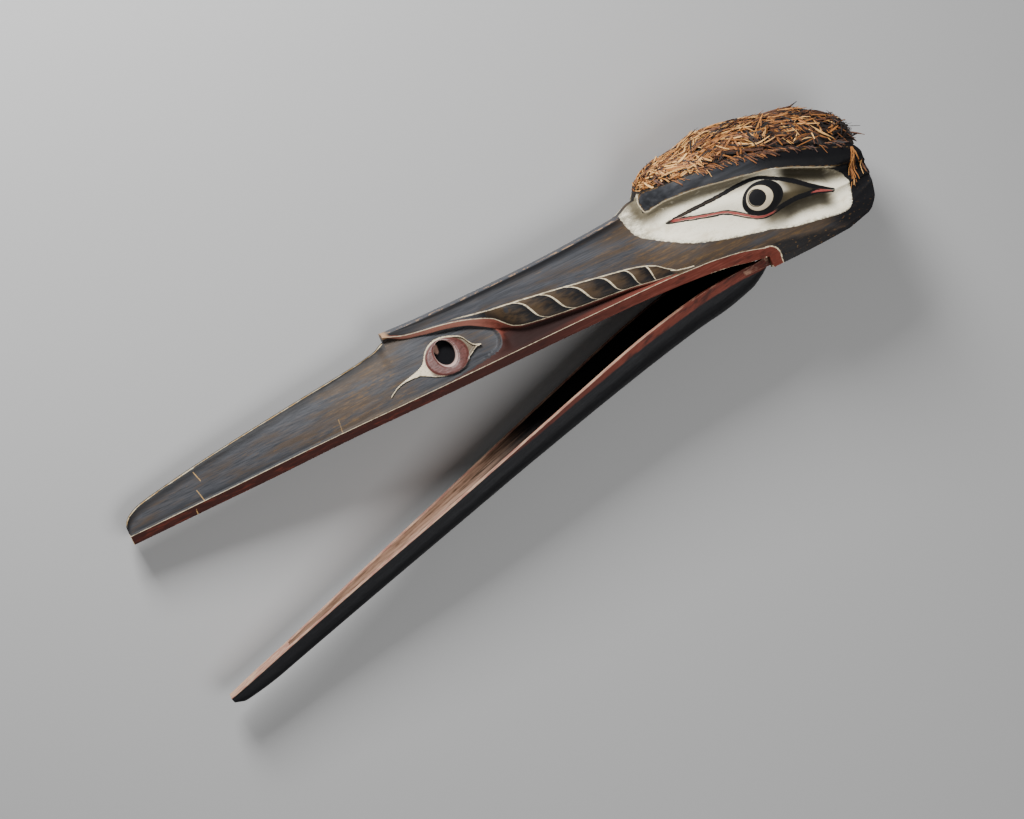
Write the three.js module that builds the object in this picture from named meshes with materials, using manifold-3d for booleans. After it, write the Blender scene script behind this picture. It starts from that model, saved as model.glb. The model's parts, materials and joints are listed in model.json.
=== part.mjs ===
// A carved cedar mask of a long-beaked bird, with a hinged lower beak and shredded bark on its crown.
// Lengths are millimetres and angles degrees. The mask is worked out in its own frame, which is then laid
// on its right side: x runs from the beak's tip to the back of the head, y from the chin to the crown, and
// z to the mask's left. "Forward" counts from the corner of the mouth towards the tip, so x = -forward.
import * as THREE from "three";
import { mergeVertices } from "three/addons/utils/BufferGeometryUtils.js";
import Module from "manifold-3d";

const wasm = await Module();
wasm.setup();

// Driving lengths along the mask.
const TIP = 1236;
const HOOD_TIP = 699;
const CROWN_FRONT = 181;
const CHEEK_FRONT = 110;
const SOCKET_FRONT = 226;
const LIP_END = 12;
const REAR_START = -150;
const HOLLOW_END = 1060;
const TROUGH_END = 1105;
const LOWER_TIP = 1244;
const LOWER_REAR = 17;

// The hinge: a round stub on each ear of the lower beak turns in a blind hole in the cheek.
const HINGE = { forward: 0, height: 3, stub: 6, hole: 6.6, depth: 8 };
const OPEN_ANGLE = 15;
const EAR = { radius: 10, reach: 62, inner: 68.5, outer: 81, above: 4, below: 13 };
const SLIDE_GAP = 1.5;
const TOUCH_GAP = 0.3;
const ROUND_SIDES = 24;

// Heights of the carved lines, as [forward, height].
const ridgeLine = curve([[181, 185], [240, 178], [320, 173], [400, 170], [500, 169], [620, 170], [697, 173]]);
const frontRidge = curve([
  [500, 169], [699, 158], [720, 149], [760, 142], [875, 130], [1054, 110], [1156, 95],
  [1202, 86], [1224, 76], [1233, 67], [TIP, 60],
]);
const crownEdge = curve([
  [-150, 152], [-81, 177], [-31, 191], [19, 200], [81, 205], [160, 206], [170, 204], [177, 198], [181, 192],
]);
const browEdge = curve([
  [-150, 114], [-64, 150], [-14, 162], [35, 171], [96, 179], [133, 179], [170, 171], [181, 166],
]);
const socketEdge = curve([[-152, 26], [-52, 42], [20, 62], [95, 81], [155, 104], [181, 118]]);
const lidTop = curve([[-152, 68], [-84, 116], [-22, 149], [54, 147], [111, 145], [156, 142], [181, 141]]);
const lidFoot = curve([
  [-152, 66], [-102, 80], [-10, 82], [17, 93], [50, 115], [78, 123], [156, 140], [181, 139],
]);
const lipTop = curve([
  [-150, 2], [-40, 1], [-12, 4], [-3, 22], [24, 33], [64, 43], [128, 51], [240, 55],
  [611, 54], [880, 52], [1057, 48], [TIP, 46],
]);
const lipFoot = curve([
  [14, 13], [47, 18], [86, 26], [128, 31], [192, 35], [300, 38], [784, 37], [1000, 32], [TIP, 30],
]);
const chinLine = curve([[REAR_START, -6], [-71, -8], [13, -9]]);
const ladderTop = curve([
  [177, 61], [195, 73], [209, 84], [242, 96], [320, 110], [394, 122], [470, 133], [511, 138], [532, 136],
  [568, 145],
  [606, 151], [660, 160], [697, 170],
]);
const ladderFoot = curve([
  [177, 57], [210, 60], [269, 69], [371, 78], [464, 90], [484, 96], [498, 108], [510, 120], [532, 130],
  [568, 141],
  [606, 148], [644, 153], [665, 157], [697, 168],
]);
const hollowRoof = curve([
  [-150, 143], [-100, 158], [-60, 165], [60, 165], [110, 146], [150, 130], [190, 116], [250, 106], [400, 92],
  [600, 80], [800, 70], [950, 58], [HOLLOW_END, 46],
]);

// Half widths, as [forward, distance from the middle plane].
const browWidth = curve([
  [-150, 85], [-60, 90], [0, 89], [40, 87], [84, 79], [120, 66], [140, 53], [160, 36], [172, 22], [181, 16],
]);
const socketWidth = curve([
  [-152, 90], [-100, 96], [0, 95], [60, 90], [100, 85], [125, 78], [155, 68], [181, 57],
]);
const upperWidth = curve([
  [-232, 84], [-150, 94], [-100, 98], [-60, 99], [0, 97], [100, 93], [210, 87], [400, 77], [600, 68],
  [700, 61], [800, 51], [900, 41.5], [1000, 33], [1100, 25.5], [1200, 21], [TIP, 19],
]);
const lowerWidth = curve([
  [0, 83.5], [100, 80], [210, 74], [400, 64], [600, 56], [700, 50], [800, 43], [900, 35], [1000, 27.5],
  [1100, 21],
  [1200, 18], [LOWER_TIP, 14],
]);
const ladderTopWidth = curve([
  [177, 78], [210, 75], [320, 69], [400, 64], [511, 57], [532, 44], [606, 29], [697, 15],
]);
const ladderFootWidth = curve([
  [177, 87], [269, 80], [371, 74], [464, 69], [498, 58], [532, 45], [606, 31], [665, 20], [697, 16],
]);
const ridgeStrip = curve([[181, 15], [300, 14], [697, 11]]);

// The lower beak, drawn as it lies when the mouth is shut.
const lowerRim = curve([
  [16, 13], [78, 29], [147, 40], [218, 45], [290, 47], [432, 44], [560, 41], [725, 36.5], [930, 33],
  [1032, 30], [1236, 25],
]);
const lowerKeel = curve([
  [16, -9], [34, -20], [62, -28], [100, -29], [188, -21], [317, -14], [475, -9], [630, -6], [940, -5],
  [1143, -5], [1225, 1], [LOWER_TIP, 12],
]);

// The bark's top line and half width.
const barkTop = curve([
  [-238, 150], [-228, 176], [-190, 205], [-150, 226], [-98, 236], [-40, 248], [20, 254], [62, 245],
  [124, 238],
  [154, 226], [171, 209],
]);
const barkWidth = curve([
  [-238, 48], [-200, 66], [-150, 79], [-60, 86], [0, 85], [84, 75], [124, 60], [154, 38], [171, 16],
]);

// Relief and wall thicknesses.
const FRONT_STRIP = 3.5;
const BROW_PROUD = 5;
const BROW_CUT = 6;
const BROW_DROP = 10;
const CROWN_RISE = 0.16;
const LIDS = { bulge: 8, high: 60 };
const SOCKET_DISH = 4;
const IRIS = { forward: -16, height: 115, long: 48, high: 33, deep: 15, crown: 98 };
const CHEEK_WALL = 14.5;
const HEAD_WALL_TOP = 70;
const ROOF_FLAT = 0.4;
const RIM_WALL = 11;
const TROUGH_FLOOR = 13;
const BARK = { front: 171, rear: -238, rearFoot: 118, sink: 4, rings: 15, rows: 9 };
const LOCK = { high: 3.5, along: 0.11, across: 2.1 };
const GROOVE_DEPTH = 9;
const FEATHERS = { rear: 185, front: 520, run: 60, bulge: 4, cut: 3, cutWidth: 4, slant: 52 };
const FEATHER_CUTS = [214, 254, 302, 350, 398, 446];
const REAR_OVAL = { forward: -150, height: 75, long: 82, high: 81, power: 2.4 };
const REAR_ENDS = { crown: [151, 146, 134, 113, 92], inner: [134, 132, 112, 50, 4] };
const OUTER_ROWS = 19;
const BROW_ROW = 4;
const CHEEK_ROW = 9;

// The nostril's leaf-shaped boss and its pocket, as forward and height in the side view.
const NOSTRIL = { forward: 612, height: 101, long: 17, high: 22, depth: 22 };
const BOSS = { proud: 7, sunk: 6, rings: [0.07, 0.45] };
const BOSS_PLACES = [543, 556, 566, 575, 588, 603, 618, 633, 645, 658, 671, 690, 712, 735];
const bossTop = curve([
  [543, 88], [556, 91], [566, 103], [575, 114], [588, 122], [603, 127], [618, 128], [633, 126],
  [645, 119], [658, 106],
  [671, 94], [690, 92], [712, 86], [735, 77],
]);
const bossFoot = curve([
  [543, 88], [556, 84], [566, 79], [575, 71], [588, 65], [603, 62], [618, 62], [633, 65], [645, 71],
  [658, 79],
  [671, 86], [690, 86], [712, 83], [735, 77],
]);

// Colours of the old paint, the bare wood and the bark.
const graphite = finish("graphite_paint", 0x3a3a3c, 0.55);
const brick = finish("brick_red_paint", 0x6e3a30, 0.6);
const bark = finish("shredded_bark", 0xa8764a, 0.9);

function finish(name, color, roughness) {
  return new THREE.MeshStandardMaterial({ name, color, roughness, metalness: 0 });
}

// A smooth curve through points that rise in their first number; it never overshoots between two of them.
function curve(points) {
  const last = points.length - 1;
  const slope = (i) => (points[i + 1][1] - points[i][1]) / (points[i + 1][0] - points[i][0]);
  const tangents = points.map((point, i) => {
    if (i === 0) return slope(0);
    if (i === last) return slope(last - 1);
    const product = slope(i - 1) * slope(i);
    return product > 0 ? (2 * product) / (slope(i - 1) + slope(i)) : 0;
  });
  return (at) => {
    const x = THREE.MathUtils.clamp(at, points[0][0], points[last][0]);
    const i = Math.min(last - 1, points.findLastIndex((point) => point[0] <= x));
    const width = points[i + 1][0] - points[i][0];
    const t = (x - points[i][0]) / width;
    const s = t * t * (3 - 2 * t);
    const rise = points[i + 1][1] - points[i][1];
    const bow = t * (1 - t) * width * (tangents[i] * (1 - t) - tangents[i + 1] * t);
    return points[i][1] + rise * s + bow;
  };
}

function mix(a, b, t) {
  return a + (b - a) * t;
}

function ease(from, to, at) {
  const t = THREE.MathUtils.clamp((at - from) / (to - from), 0, 1);
  return t * t * (3 - 2 * t);
}

// Each section below runs from the middle of the crown or ridge round to the lip's outer foot, as rows of
// [half width, height].

// The front of the beak: a narrow worn ridge, a slightly full side and the lip.
function frontSection(forward) {
  const top = frontRidge(forward);
  const wide = upperWidth(forward);
  const lip = lipTop(forward);
  const rows = [[0, top], [FRONT_STRIP / 2, top], [FRONT_STRIP, top - 0.5]];
  const sideRows = OUTER_ROWS - 5;
  const hoodRows = sideRows - 5;
  const underHood = ease(900, HOOD_TIP, forward);
  for (let i = 1; i <= sideRows; i++) {
    const gathered = i <= hoodRows ? (0.06 * i) / hoodRows : mix(0.06, 1, (i - hoodRows) / 5);
    const height = mix(top - 0.5, lip + 3, mix(i / sideRows, gathered, underHood));
    rows.push([frontSide(forward, height), height]);
  }
  return [...rows, [wide + 1, lip], [wide, lipFoot(forward)]];
}

// Half width of the front beak's side, which also runs back under the hood as the floor of the nostril.
function frontSide(forward, height) {
  const top = frontRidge(forward);
  const share = THREE.MathUtils.clamp((top - height) / (top - lipTop(forward)), 0, 1);
  return FRONT_STRIP + (upperWidth(forward) - 1 - FRONT_STRIP) * share ** 0.8;
}

// The feather band is full in the middle and dies out at both ends.
function bandSwell(forward) {
  const { rear, front, run, bulge } = FEATHERS;
  return bulge * ease(rear, rear + run, forward) * ease(front, front - run, forward);
}

// Half width of the band's surface, from its top edge (share 0) to its foot (share 1).
function bandSurface(forward, share) {
  const flat = mix(ladderTopWidth(forward), ladderFootWidth(forward), share);
  return flat + bandSwell(forward) * (1 - Math.abs(2 * share - 1));
}

// The beak behind the hood's tip: flat ridge, hollow side, feather band, groove and lip.
function ridgeSection(forward) {
  const top = ridgeLine(forward);
  const strip = ridgeStrip(forward);
  const wide = upperWidth(forward);
  const lip = lipTop(forward);
  const bandTop = [ladderTopWidth(forward), ladderTop(forward)];
  const bandFoot = [ladderFootWidth(forward), ladderFoot(forward)];
  const shoulder = [strip + 1.5, top - Math.min(7, (top - bandTop[1]) / 4)];
  const rows = [[0, top], [strip / 2, top], [strip, top - 0.8], shoulder];
  for (let i = 1; i <= 5; i++) {
    const t = i / 6;
    rows.push([mix(shoulder[0], bandTop[0], t ** 1.7), mix(shoulder[1], bandTop[1], t)]);
  }
  rows.push(bandTop, [bandSurface(forward, 0.5), mix(bandTop[1], bandFoot[1], 0.5)], bandFoot);
  const recess = ease(484, 532, forward);
  const groove = GROOVE_DEPTH * ease(180, 300, forward);
  const footHeight = Math.max(bandFoot[1] - 3, lip + 4);
  for (let i = 0; i <= 4; i++) {
    const t = i / 4;
    const height = mix(footHeight, lip + 3, t);
    const sunk = mix(bandFoot[0] - groove, wide - 3, t) - groove * t * (1 - t);
    rows.push([mix(sunk, frontSide(forward, height), recess), height]);
  }
  return [...rows, [wide + 1, lip], [wide, lipFoot(forward)]];
}

// The head: domed crown, brow band, sunk socket with the eye, cheek and lip. The crown narrows to the
// ridge in front.
function headSection(forward) {
  const wide = upperWidth(forward);
  const brows = browWidth(forward);
  const sockets = socketWidth(forward);
  const under = brows + BROW_PROUD - 1 - BROW_DROP * ease(CROWN_FRONT, CROWN_FRONT - 60, forward);
  const edge = crownEdge(forward);
  const brow = browEdge(forward);
  const socket = socketEdge(forward);
  const lip = lipTop(forward);
  const foot = forward > LIP_END ? lipFoot(forward) : chinLine(forward);
  const rows = [
    [0, edge + CROWN_RISE * brows], [brows * 0.55, edge + CROWN_RISE * brows * 0.7], [brows, edge],
    [brows + BROW_PROUD, mix(edge, brow, 0.5)], [brows + BROW_PROUD - 1, brow], [under, brow - BROW_CUT],
  ];
  const [top, bottom] = [lidTop(forward), lidFoot(forward)];
  const lids = LIDS.bulge * Math.min(1, (top - bottom) / LIDS.high);
  const places = [
    [mix(brow - BROW_CUT, top, 0.5), 0], [top, 0], [mix(top, bottom, 0.5), lids], [bottom, 0],
    [mix(bottom, socket, 0.5), 0],
  ];
  for (const [height, swell] of places) {
    const share = (brow - BROW_CUT - height) / (brow - BROW_CUT - socket);
    const dished = mix(under, sockets, share) - SOCKET_DISH * Math.sin(Math.PI * share);
    rows.push([dished + swell, height]);
  }
  rows.push([sockets, socket]);
  for (let i = 1; i <= 4; i++) {
    const t = i / 5;
    rows.push([mix(sockets, wide - 1, ease(0, 1, t ** 0.8)), mix(socket, lip + 3, t)]);
  }
  return [...rows, [wide - 1, lip + 3], [wide + 1, lip], [wide, foot]];
}

// Between the brow's blunt front and the hollow side of the beak the socket runs out over a shoulder. The
// crown and brow give way last and the cheek first.
function outerSection(forward) {
  if (forward > HOOD_TIP) return frontSection(forward);
  if (forward >= SOCKET_FRONT) return ridgeSection(forward);
  if (forward <= CHEEK_FRONT) return headSection(forward);
  const ridge = ridgeSection(forward);
  return headSection(forward).map(([wide, height], i) => {
    const down = THREE.MathUtils.clamp((i - BROW_ROW) / (CHEEK_ROW - BROW_ROW), 0, 1);
    const share = ease(mix(CROWN_FRONT, CHEEK_FRONT, down), SOCKET_FRONT, forward);
    return [mix(wide, ridge[i][0], share), mix(height, ridge[i][1], share)];
  });
}

// The hollow, from the middle of its roof down to the inner foot of the wall. Past its end these rows lie
// on the flat underside.
function innerSection(forward) {
  const inHead = 1 - ease(20, 120, forward);
  const foot = forward > LIP_END ? lipFoot(forward) : chinLine(forward);
  const nest = lowerWidth(forward) + SLIDE_GAP;
  const wide = forward > LIP_END ? nest : upperWidth(forward) - CHEEK_WALL;
  if (forward > HOLLOW_END) {
    return [0, 0.25, 0.5, 0.75, 1].map((share) => [Math.min(wide, upperWidth(forward) - 4) * share, foot]);
  }
  const roof = hollowRoof(forward);
  const kneeHeight = mix(roof, lipTop(forward), mix(0.35, 0.12, inHead));
  const knee = wide * mix(0.74, 0.84, inHead);
  const wallTop = mix(lipTop(forward) + 2, HEAD_WALL_TOP, inHead);
  return [[0, roof], [wide * ROOF_FLAT, roof], [knee, kneeHeight], [wide, wallTop], [wide, foot]];
}

// The back edge of the head is an oval arc in the side view: how far back the arc lies at a height.
function rearArc(height) {
  const up = Math.min(1, Math.abs(height - REAR_OVAL.height) / REAR_OVAL.high);
  return REAR_OVAL.forward - REAR_OVAL.long * (1 - up ** REAR_OVAL.power) ** (1 / REAR_OVAL.power);
}

// Heights of the rows where they end on that arc: the crown and brow rows are given, and those below share
// out the rest evenly.
function rearHeights() {
  const { crown, inner } = REAR_ENDS;
  const outer = [...crown];
  const left = OUTER_ROWS - crown.length;
  for (let i = 1; i <= left; i++) outer.push(mix(crown.at(-1), inner.at(-1), i / left));
  return { outer, inner };
}

// A half ring of the head and upper beak as points [forward, half width, height], outer rows then inner.
function upperRing(station) {
  if (station >= REAR_START) {
    const place = ([wide, height]) => [station, wide, height];
    return { outer: outerSection(station).map(place), inner: innerSection(station).map(place) };
  }
  const share = (REAR_START - station) / REAR_OVAL.long;
  const ends = rearHeights();
  const carry = (rows, heights) => rows.map(([wide, height], i) => {
    const end = rearArc(heights[i]);
    const at = mix(REAR_START, end, share);
    return [at, (wide * upperWidth(at)) / upperWidth(REAR_START), mix(height, heights[i], share)];
  });
  return {
    outer: carry(outerSection(REAR_START), ends.outer),
    inner: carry(innerSection(REAR_START), ends.inner),
  };
}

// Joins mirrored half rings into one closed body. The ends are closed by strips from outer to inner rows.
function shell(rings) {
  const positions = [];
  const faces = [];
  const loops = rings.map(({ outer, inner }) => {
    const half = [...outer, ...[...inner].reverse()];
    const mirrored = half.slice(1, -1).reverse().map(([forward, wide, height]) => [forward, -wide, height]);
    return [...half, ...mirrored].map(([forward, wide, height]) => {
      positions.push(-forward, height, wide);
      return positions.length / 3 - 1;
    });
  });
  const size = loops[0].length;
  for (let s = 0; s + 1 < loops.length; s++) {
    for (let i = 0; i < size; i++) {
      const [a, b] = [loops[s][i], loops[s][(i + 1) % size]];
      const [c, d] = [loops[s + 1][i], loops[s + 1][(i + 1) % size]];
      faces.push(a, b, c, b, d, c);
    }
  }
  const outerCount = rings[0].outer.length;
  const innerCount = rings[0].inner.length;
  const cap = (loop, flip) => {
    for (const side of [1, -1]) {
      const outerAt = (row) => loop[(size + side * row) % size];
      const innerAt = (row) => loop[outerCount + innerCount - 1 - side * row];
      let [o, i] = [0, 0];
      while (o + 1 < outerCount || i + 1 < innerCount) {
        const outerLags = (o + 1) / outerCount <= (i + 1) / innerCount;
        const stepOuter = i + 1 === innerCount || (o + 1 < outerCount && outerLags);
        const corner = [outerAt(o), innerAt(i), stepOuter ? outerAt(o + 1) : innerAt(i + 1)];
        if ((side === -1) !== flip) corner.reverse();
        faces.push(...corner);
        if (stepOuter) o += 1;
        else i += 1;
      }
    }
  };
  cap(loops[0], false);
  cap(loops[loops.length - 1], true);
  return body(positions, faces);
}

// Solids of geometries and back again.
function body(positions, faces) {
  const vertProperties = new Float32Array(positions);
  const triVerts = new Uint32Array(faces);
  const made = new wasm.Manifold(new wasm.Mesh({ numProp: 3, vertProperties, triVerts }));
  if (made.volume() > 0) return made;
  const turned = [];
  for (let i = 0; i < faces.length; i += 3) turned.push(faces[i], faces[i + 2], faces[i + 1]);
  return body(positions, turned);
}

function solidOf(geometry) {
  geometry.deleteAttribute("normal");
  geometry.deleteAttribute("uv");
  const merged = mergeVertices(geometry, 1e-4);
  return body([...merged.attributes.position.array], [...merged.index.array]);
}

function geometryOf(solid) {
  const { vertProperties, triVerts, numProp } = solid.getMesh();
  const geometry = new THREE.BufferGeometry();
  const positions = new Float32Array((vertProperties.length / numProp) * 3);
  for (let i = 0; i < positions.length / 3; i++) {
    positions.set(vertProperties.subarray(i * numProp, i * numProp + 3), i * 3);
  }
  geometry.setAttribute("position", new THREE.BufferAttribute(positions, 3));
  geometry.setIndex(new THREE.BufferAttribute(triVerts, 1));
  geometry.computeVertexNormals();
  return geometry;
}

// A straight bar along z at a place, between two half widths. It may be round or oval.
function bar(place, long, high, from, to) {
  const geometry = new THREE.CylinderGeometry(1, 1, Math.abs(to - from), ROUND_SIDES);
  geometry.rotateX(Math.PI / 2);
  geometry.scale(long, high, 1);
  geometry.translate(-place.forward, place.height, (from + to) / 2);
  return solidOf(geometry);
}

// Points of a closed outline pushed out between two half widths.
function plate(outline, from, to) {
  const shape = new THREE.Shape(outline);
  const geometry = new THREE.ExtrudeGeometry(shape, { depth: to - from, bevelEnabled: false });
  geometry.translate(0, 0, from);
  return solidOf(geometry);
}

// The nostril's boss: a ring with a long leaf point in front and a short curl behind, standing proud of
// the beak's side, which slopes out from the ridge to the lip.
function nostrilBoss(side) {
  const upper = BOSS_PLACES.map((forward) => [forward, bossTop(forward)]);
  const lower = BOSS_PLACES.slice(1, -1).reverse().map((forward) => [forward, bossFoot(forward)]);
  const rim = [...upper, ...lower];
  const middle = [NOSTRIL.forward, NOSTRIL.height];
  const positions = [];
  const lift = (forward, height, out) => {
    positions.push(-forward, height, side * (frontSide(forward, height) + out));
  };
  rim.forEach(([forward, height]) => lift(forward, height, -BOSS.sunk));
  for (const inward of BOSS.rings) {
    rim.forEach(([forward, height]) => {
      lift(mix(forward, middle[0], inward), mix(height, middle[1], inward), BOSS.proud);
    });
  }
  lift(...middle, BOSS.proud);
  lift(...middle, -BOSS.sunk);
  const faces = [];
  const count = rim.length;
  const last = BOSS.rings.length * count;
  const crown = last + count;
  for (let i = 0; i < count; i++) {
    const next = (i + 1) % count;
    for (let ring = 0; ring < last; ring += count) {
      const [a, b] = [ring + i, ring + next];
      faces.push(a, b, a + count, b, b + count, a + count);
    }
    faces.push(last + i, last + next, crown, next, i, crown + 1);
  }
  return body(positions, faces);
}

// A slanting cut between two feathers: a three-sided bar that runs from the band's top down and back.
function featherCut(side, rear) {
  const steps = 5;
  const positions = [];
  for (let i = 0; i < steps; i++) {
    const share = i / (steps - 1);
    const forward = rear + FEATHERS.slant * (1 - ease(0, 1, share));
    const height = mix(ladderTop(forward) - 1, ladderFoot(forward) + 1, share);
    const surface = bandSurface(forward, share);
    const half = FEATHERS.cutWidth / 2;
    positions.push(-forward - half, height, side * (surface + 2));
    positions.push(-forward + half, height, side * (surface + 2));
    positions.push(-forward, height, side * (surface - FEATHERS.cut));
  }
  const faces = [0, 1, 2];
  for (let i = 0; i + 1 < steps; i++) {
    for (let k = 0; k < 3; k++) {
      const [a, b] = [i * 3 + k, i * 3 + ((k + 1) % 3)];
      faces.push(a, a + 3, b, b, a + 3, b + 3);
    }
  }
  const end = (steps - 1) * 3;
  faces.push(end, end + 2, end + 1);
  return body(positions, faces);
}

// The iris and pupil stand out of the lids as one flattened ball.
function eyeball(side) {
  const geometry = new THREE.SphereGeometry(1, 16, 8);
  geometry.rotateX(Math.PI / 2);
  geometry.scale(IRIS.long, IRIS.high, IRIS.deep);
  geometry.translate(-IRIS.forward, IRIS.height, side * (IRIS.crown - IRIS.deep));
  return solidOf(geometry);
}

// Stations from the tip to the back of the head, closer together where the carving is.
function upperStations() {
  const spans = [
  [TIP, 1224, 3], [1202, 1150, 2], [1080, 780, 4], [740, 715, 2], [HOOD_TIP + 1, HOOD_TIP - 2, 2],
  [670, 548, 5],
    [532, 484, 4], [464, 268, 5], [245, 190, 4], [CROWN_FRONT, 165, 3], [148, 30, 7],
    [LIP_END + 3, LIP_END, 2], [-4, REAR_START, 9], [REAR_START - 27, REAR_START - REAR_OVAL.long, 3],
  ];
  const stations = spans.flatMap(([from, to, count]) =>
    Array.from({ length: count }, (unused, i) => mix(from, to, i / (count - 1))),
  );
  stations.push(HOLLOW_END, HOLLOW_END + 4);
  return stations.sort((a, b) => b - a);
}

function headAndUpperBeak() {
  let carved = shell(upperStations().map(upperRing));
  const surface = frontSide(NOSTRIL.forward, NOSTRIL.height) + BOSS.proud;
  const cheek = upperWidth(HINGE.forward) - CHEEK_WALL;
  for (const side of [1, -1]) {
    const floor = surface - NOSTRIL.depth;
    const pocket = bar(NOSTRIL, NOSTRIL.long, NOSTRIL.high, side * floor, side * (surface + BOSS.sunk));
    const [mouth, end] = [cheek - HINGE.stub, cheek + HINGE.depth];
    const hole = bar(HINGE, HINGE.hole, HINGE.hole, side * mouth, side * end);
    carved = carved.add(nostrilBoss(side)).add(eyeball(side)).subtract(pocket).subtract(hole);
    for (const rear of FEATHER_CUTS) carved = carved.subtract(featherCut(side, rear));
  }
  const mesh = new THREE.Mesh(geometryOf(carved), graphite);
  mesh.name = "head_and_upper_beak";
  return mesh;
}

// A ring of the lower beak: the outside is a full oval from keel to rim, the trough a smaller one inside.
function lowerRing(forward) {
  const rim = lowerRim(forward);
  const keel = lowerKeel(forward);
  const wide = lowerWidth(forward);
  const arc = (share, width, low, power) => {
    const angle = (share * Math.PI) / 2;
    return [width * Math.sin(angle) ** power, rim - (rim - low) * Math.cos(angle) ** power];
  };
  const outer = Array.from({ length: 8 }, (unused, i) => arc(i / 7, wide, keel, 0.66));
  const troughWide = wide - RIM_WALL;
  const trough = forward <= TROUGH_END ? keel + TROUGH_FLOOR : rim;
  const inner = Array.from({ length: 5 }, (unused, i) => arc(i / 4, troughWide, trough, 0.7));
  const place = ([half, height]) => [forward, half, height];
  return { outer: outer.map(place), inner: inner.map(place) };
}

// The ear is a thin tongue that carries the lower beak back inside the cheek to its stub.
function ear(side) {
  const outline = [];
  for (let i = 0; i <= 8; i++) {
    const angle = Math.PI * (-0.5 + i / 8);
    outline.push(new THREE.Vector2(
      -HINGE.forward + EAR.radius * Math.cos(angle), HINGE.height + EAR.radius * Math.sin(angle),
    ));
  }
  outline.push(new THREE.Vector2(-EAR.reach, lowerRim(EAR.reach) - EAR.above));
  outline.push(new THREE.Vector2(-EAR.reach, lowerRim(EAR.reach) - EAR.below));
  const [from, to] = [side * EAR.inner, side * EAR.outer].sort((a, b) => a - b);
  const tongue = plate(outline, from, to);
  const reach = upperWidth(HINGE.forward) - CHEEK_WALL + HINGE.depth - TOUCH_GAP;
  return tongue.add(bar(HINGE, HINGE.stub, HINGE.stub, side * (EAR.outer - 3), side * reach));
}

function lowerBeak() {
  const stations = [];
  for (let i = 0; i <= 6; i++) stations.push(mix(LOWER_REAR, 260, i / 6));
  for (let i = 1; i <= 7; i++) stations.push(mix(260, TROUGH_END, i / 7));
  stations.push(TROUGH_END + 5, 1150, 1200, 1225, LOWER_TIP);
  const carved = shell(stations.map(lowerRing)).add(ear(1)).add(ear(-1));
  const mesh = new THREE.Mesh(geometryOf(carved), brick);
  mesh.name = "lower_beak";
  return mesh;
}

// The bark: a mound that follows the crown, ragged with locks that slant back. It is cut to the crown
// that it lies on.
function barkCrest(head) {
  const under = (forward, share) => {
    const back = Math.max(0, REAR_START - forward) / (REAR_START - BARK.rear);
    const rise = CROWN_RISE * browWidth(forward) * (1 - share ** 2);
    return mix(crownEdge(forward), BARK.rearFoot, back) + rise - BARK.sink;
  };
  const rings = [];
  for (let s = 0; s <= BARK.rings; s++) {
    const forward = mix(BARK.front, BARK.rear, s / BARK.rings);
    const wide = barkWidth(forward);
    const crownWide = browWidth(forward);
    const outer = Array.from({ length: BARK.rows }, (unused, i) => {
      const angle = (i / (BARK.rows - 1)) * (Math.PI / 2);
      const half = wide * Math.sin(angle);
      const foot = under(forward, Math.min(1, half / crownWide)) + 2;
      const wave = Math.sin(forward * LOCK.along + i * LOCK.across);
      const lock = LOCK.high * wave * Math.sin(Math.min(2 * angle, 2.8));
      const round = Math.cos(angle) ** 0.8;
      return [forward, half, mix(foot, Math.max(barkTop(forward), foot + 4), round) + lock];
    });
    const inner = [0, 0.5, 0.97].map((share) => {
      const half = wide * share;
      return [forward, half, under(forward, Math.min(1, half / crownWide))];
    });
    rings.push({ outer, inner });
  }
  const crown = head.geometry.clone().translate(0, TOUCH_GAP, 0);
  const mesh = new THREE.Mesh(geometryOf(shell(rings).subtract(solidOf(crown))), bark);
  mesh.name = "bark_crest";
  return mesh;
}

// Laying the mask down: the plane that carries it touches three points and passes under its centre of mass
// as close as it can, so the turn is found by raising that plane until it is held.
function layDown(mask) {
  mask.updateMatrixWorld(true);
  const points = [];
  const centre = new THREE.Vector3();
  let weight = 0;
  mask.traverse((part) => {
    if (!part.isMesh) return;
    const position = part.geometry.attributes.position;
    const corners = Array.from({ length: position.count }, (unused, i) =>
      new THREE.Vector3().fromBufferAttribute(position, i).applyMatrix4(part.matrixWorld),
    );
    points.push(...corners);
    const index = part.geometry.index.array;
    for (let i = 0; i < index.length; i += 3) {
      const [a, b, c] = [corners[index[i]], corners[index[i + 1]], corners[index[i + 2]]];
      const volume = a.dot(new THREE.Vector3().crossVectors(b, c)) / 6;
      weight += volume;
      centre.addScaledVector(a, volume / 4).addScaledVector(b, volume / 4).addScaledVector(c, volume / 4);
    }
  });
  centre.divideScalar(weight);
  const heightUnder = (slopeX, slopeY) => points.reduce(
    (least, p) => Math.min(least, p.z - slopeX * (p.x - centre.x) - slopeY * (p.y - centre.y)), Infinity,
  );
  const highest = (value) => {
    let [low, high] = [-0.4, 0.4];
    for (let i = 0; i < 48; i++) {
      const [left, right] = [mix(low, high, 0.4), mix(low, high, 0.6)];
      if (value(left) < value(right)) low = left;
      else high = right;
    }
    return (low + high) / 2;
  };
  const bestY = (slopeX) => highest((slopeY) => heightUnder(slopeX, slopeY));
  const slopeX = highest((slope) => heightUnder(slope, bestY(slope)));
  const normal = new THREE.Vector3(-slopeX, -bestY(slopeX), 1).normalize();
  const along = new THREE.Vector3(1, 0, 0).addScaledVector(normal, -normal.x).normalize();
  const across = new THREE.Vector3().crossVectors(normal, along);
  mask.quaternion.setFromRotationMatrix(new THREE.Matrix4().makeBasis(along, across, normal).invert());
  mask.updateMatrixWorld(true);
  const box = new THREE.Box3().setFromObject(mask, true);
  const middle = box.getCenter(new THREE.Vector3());
  mask.position.set(-middle.x, -middle.y, -box.min.z);
}

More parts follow.
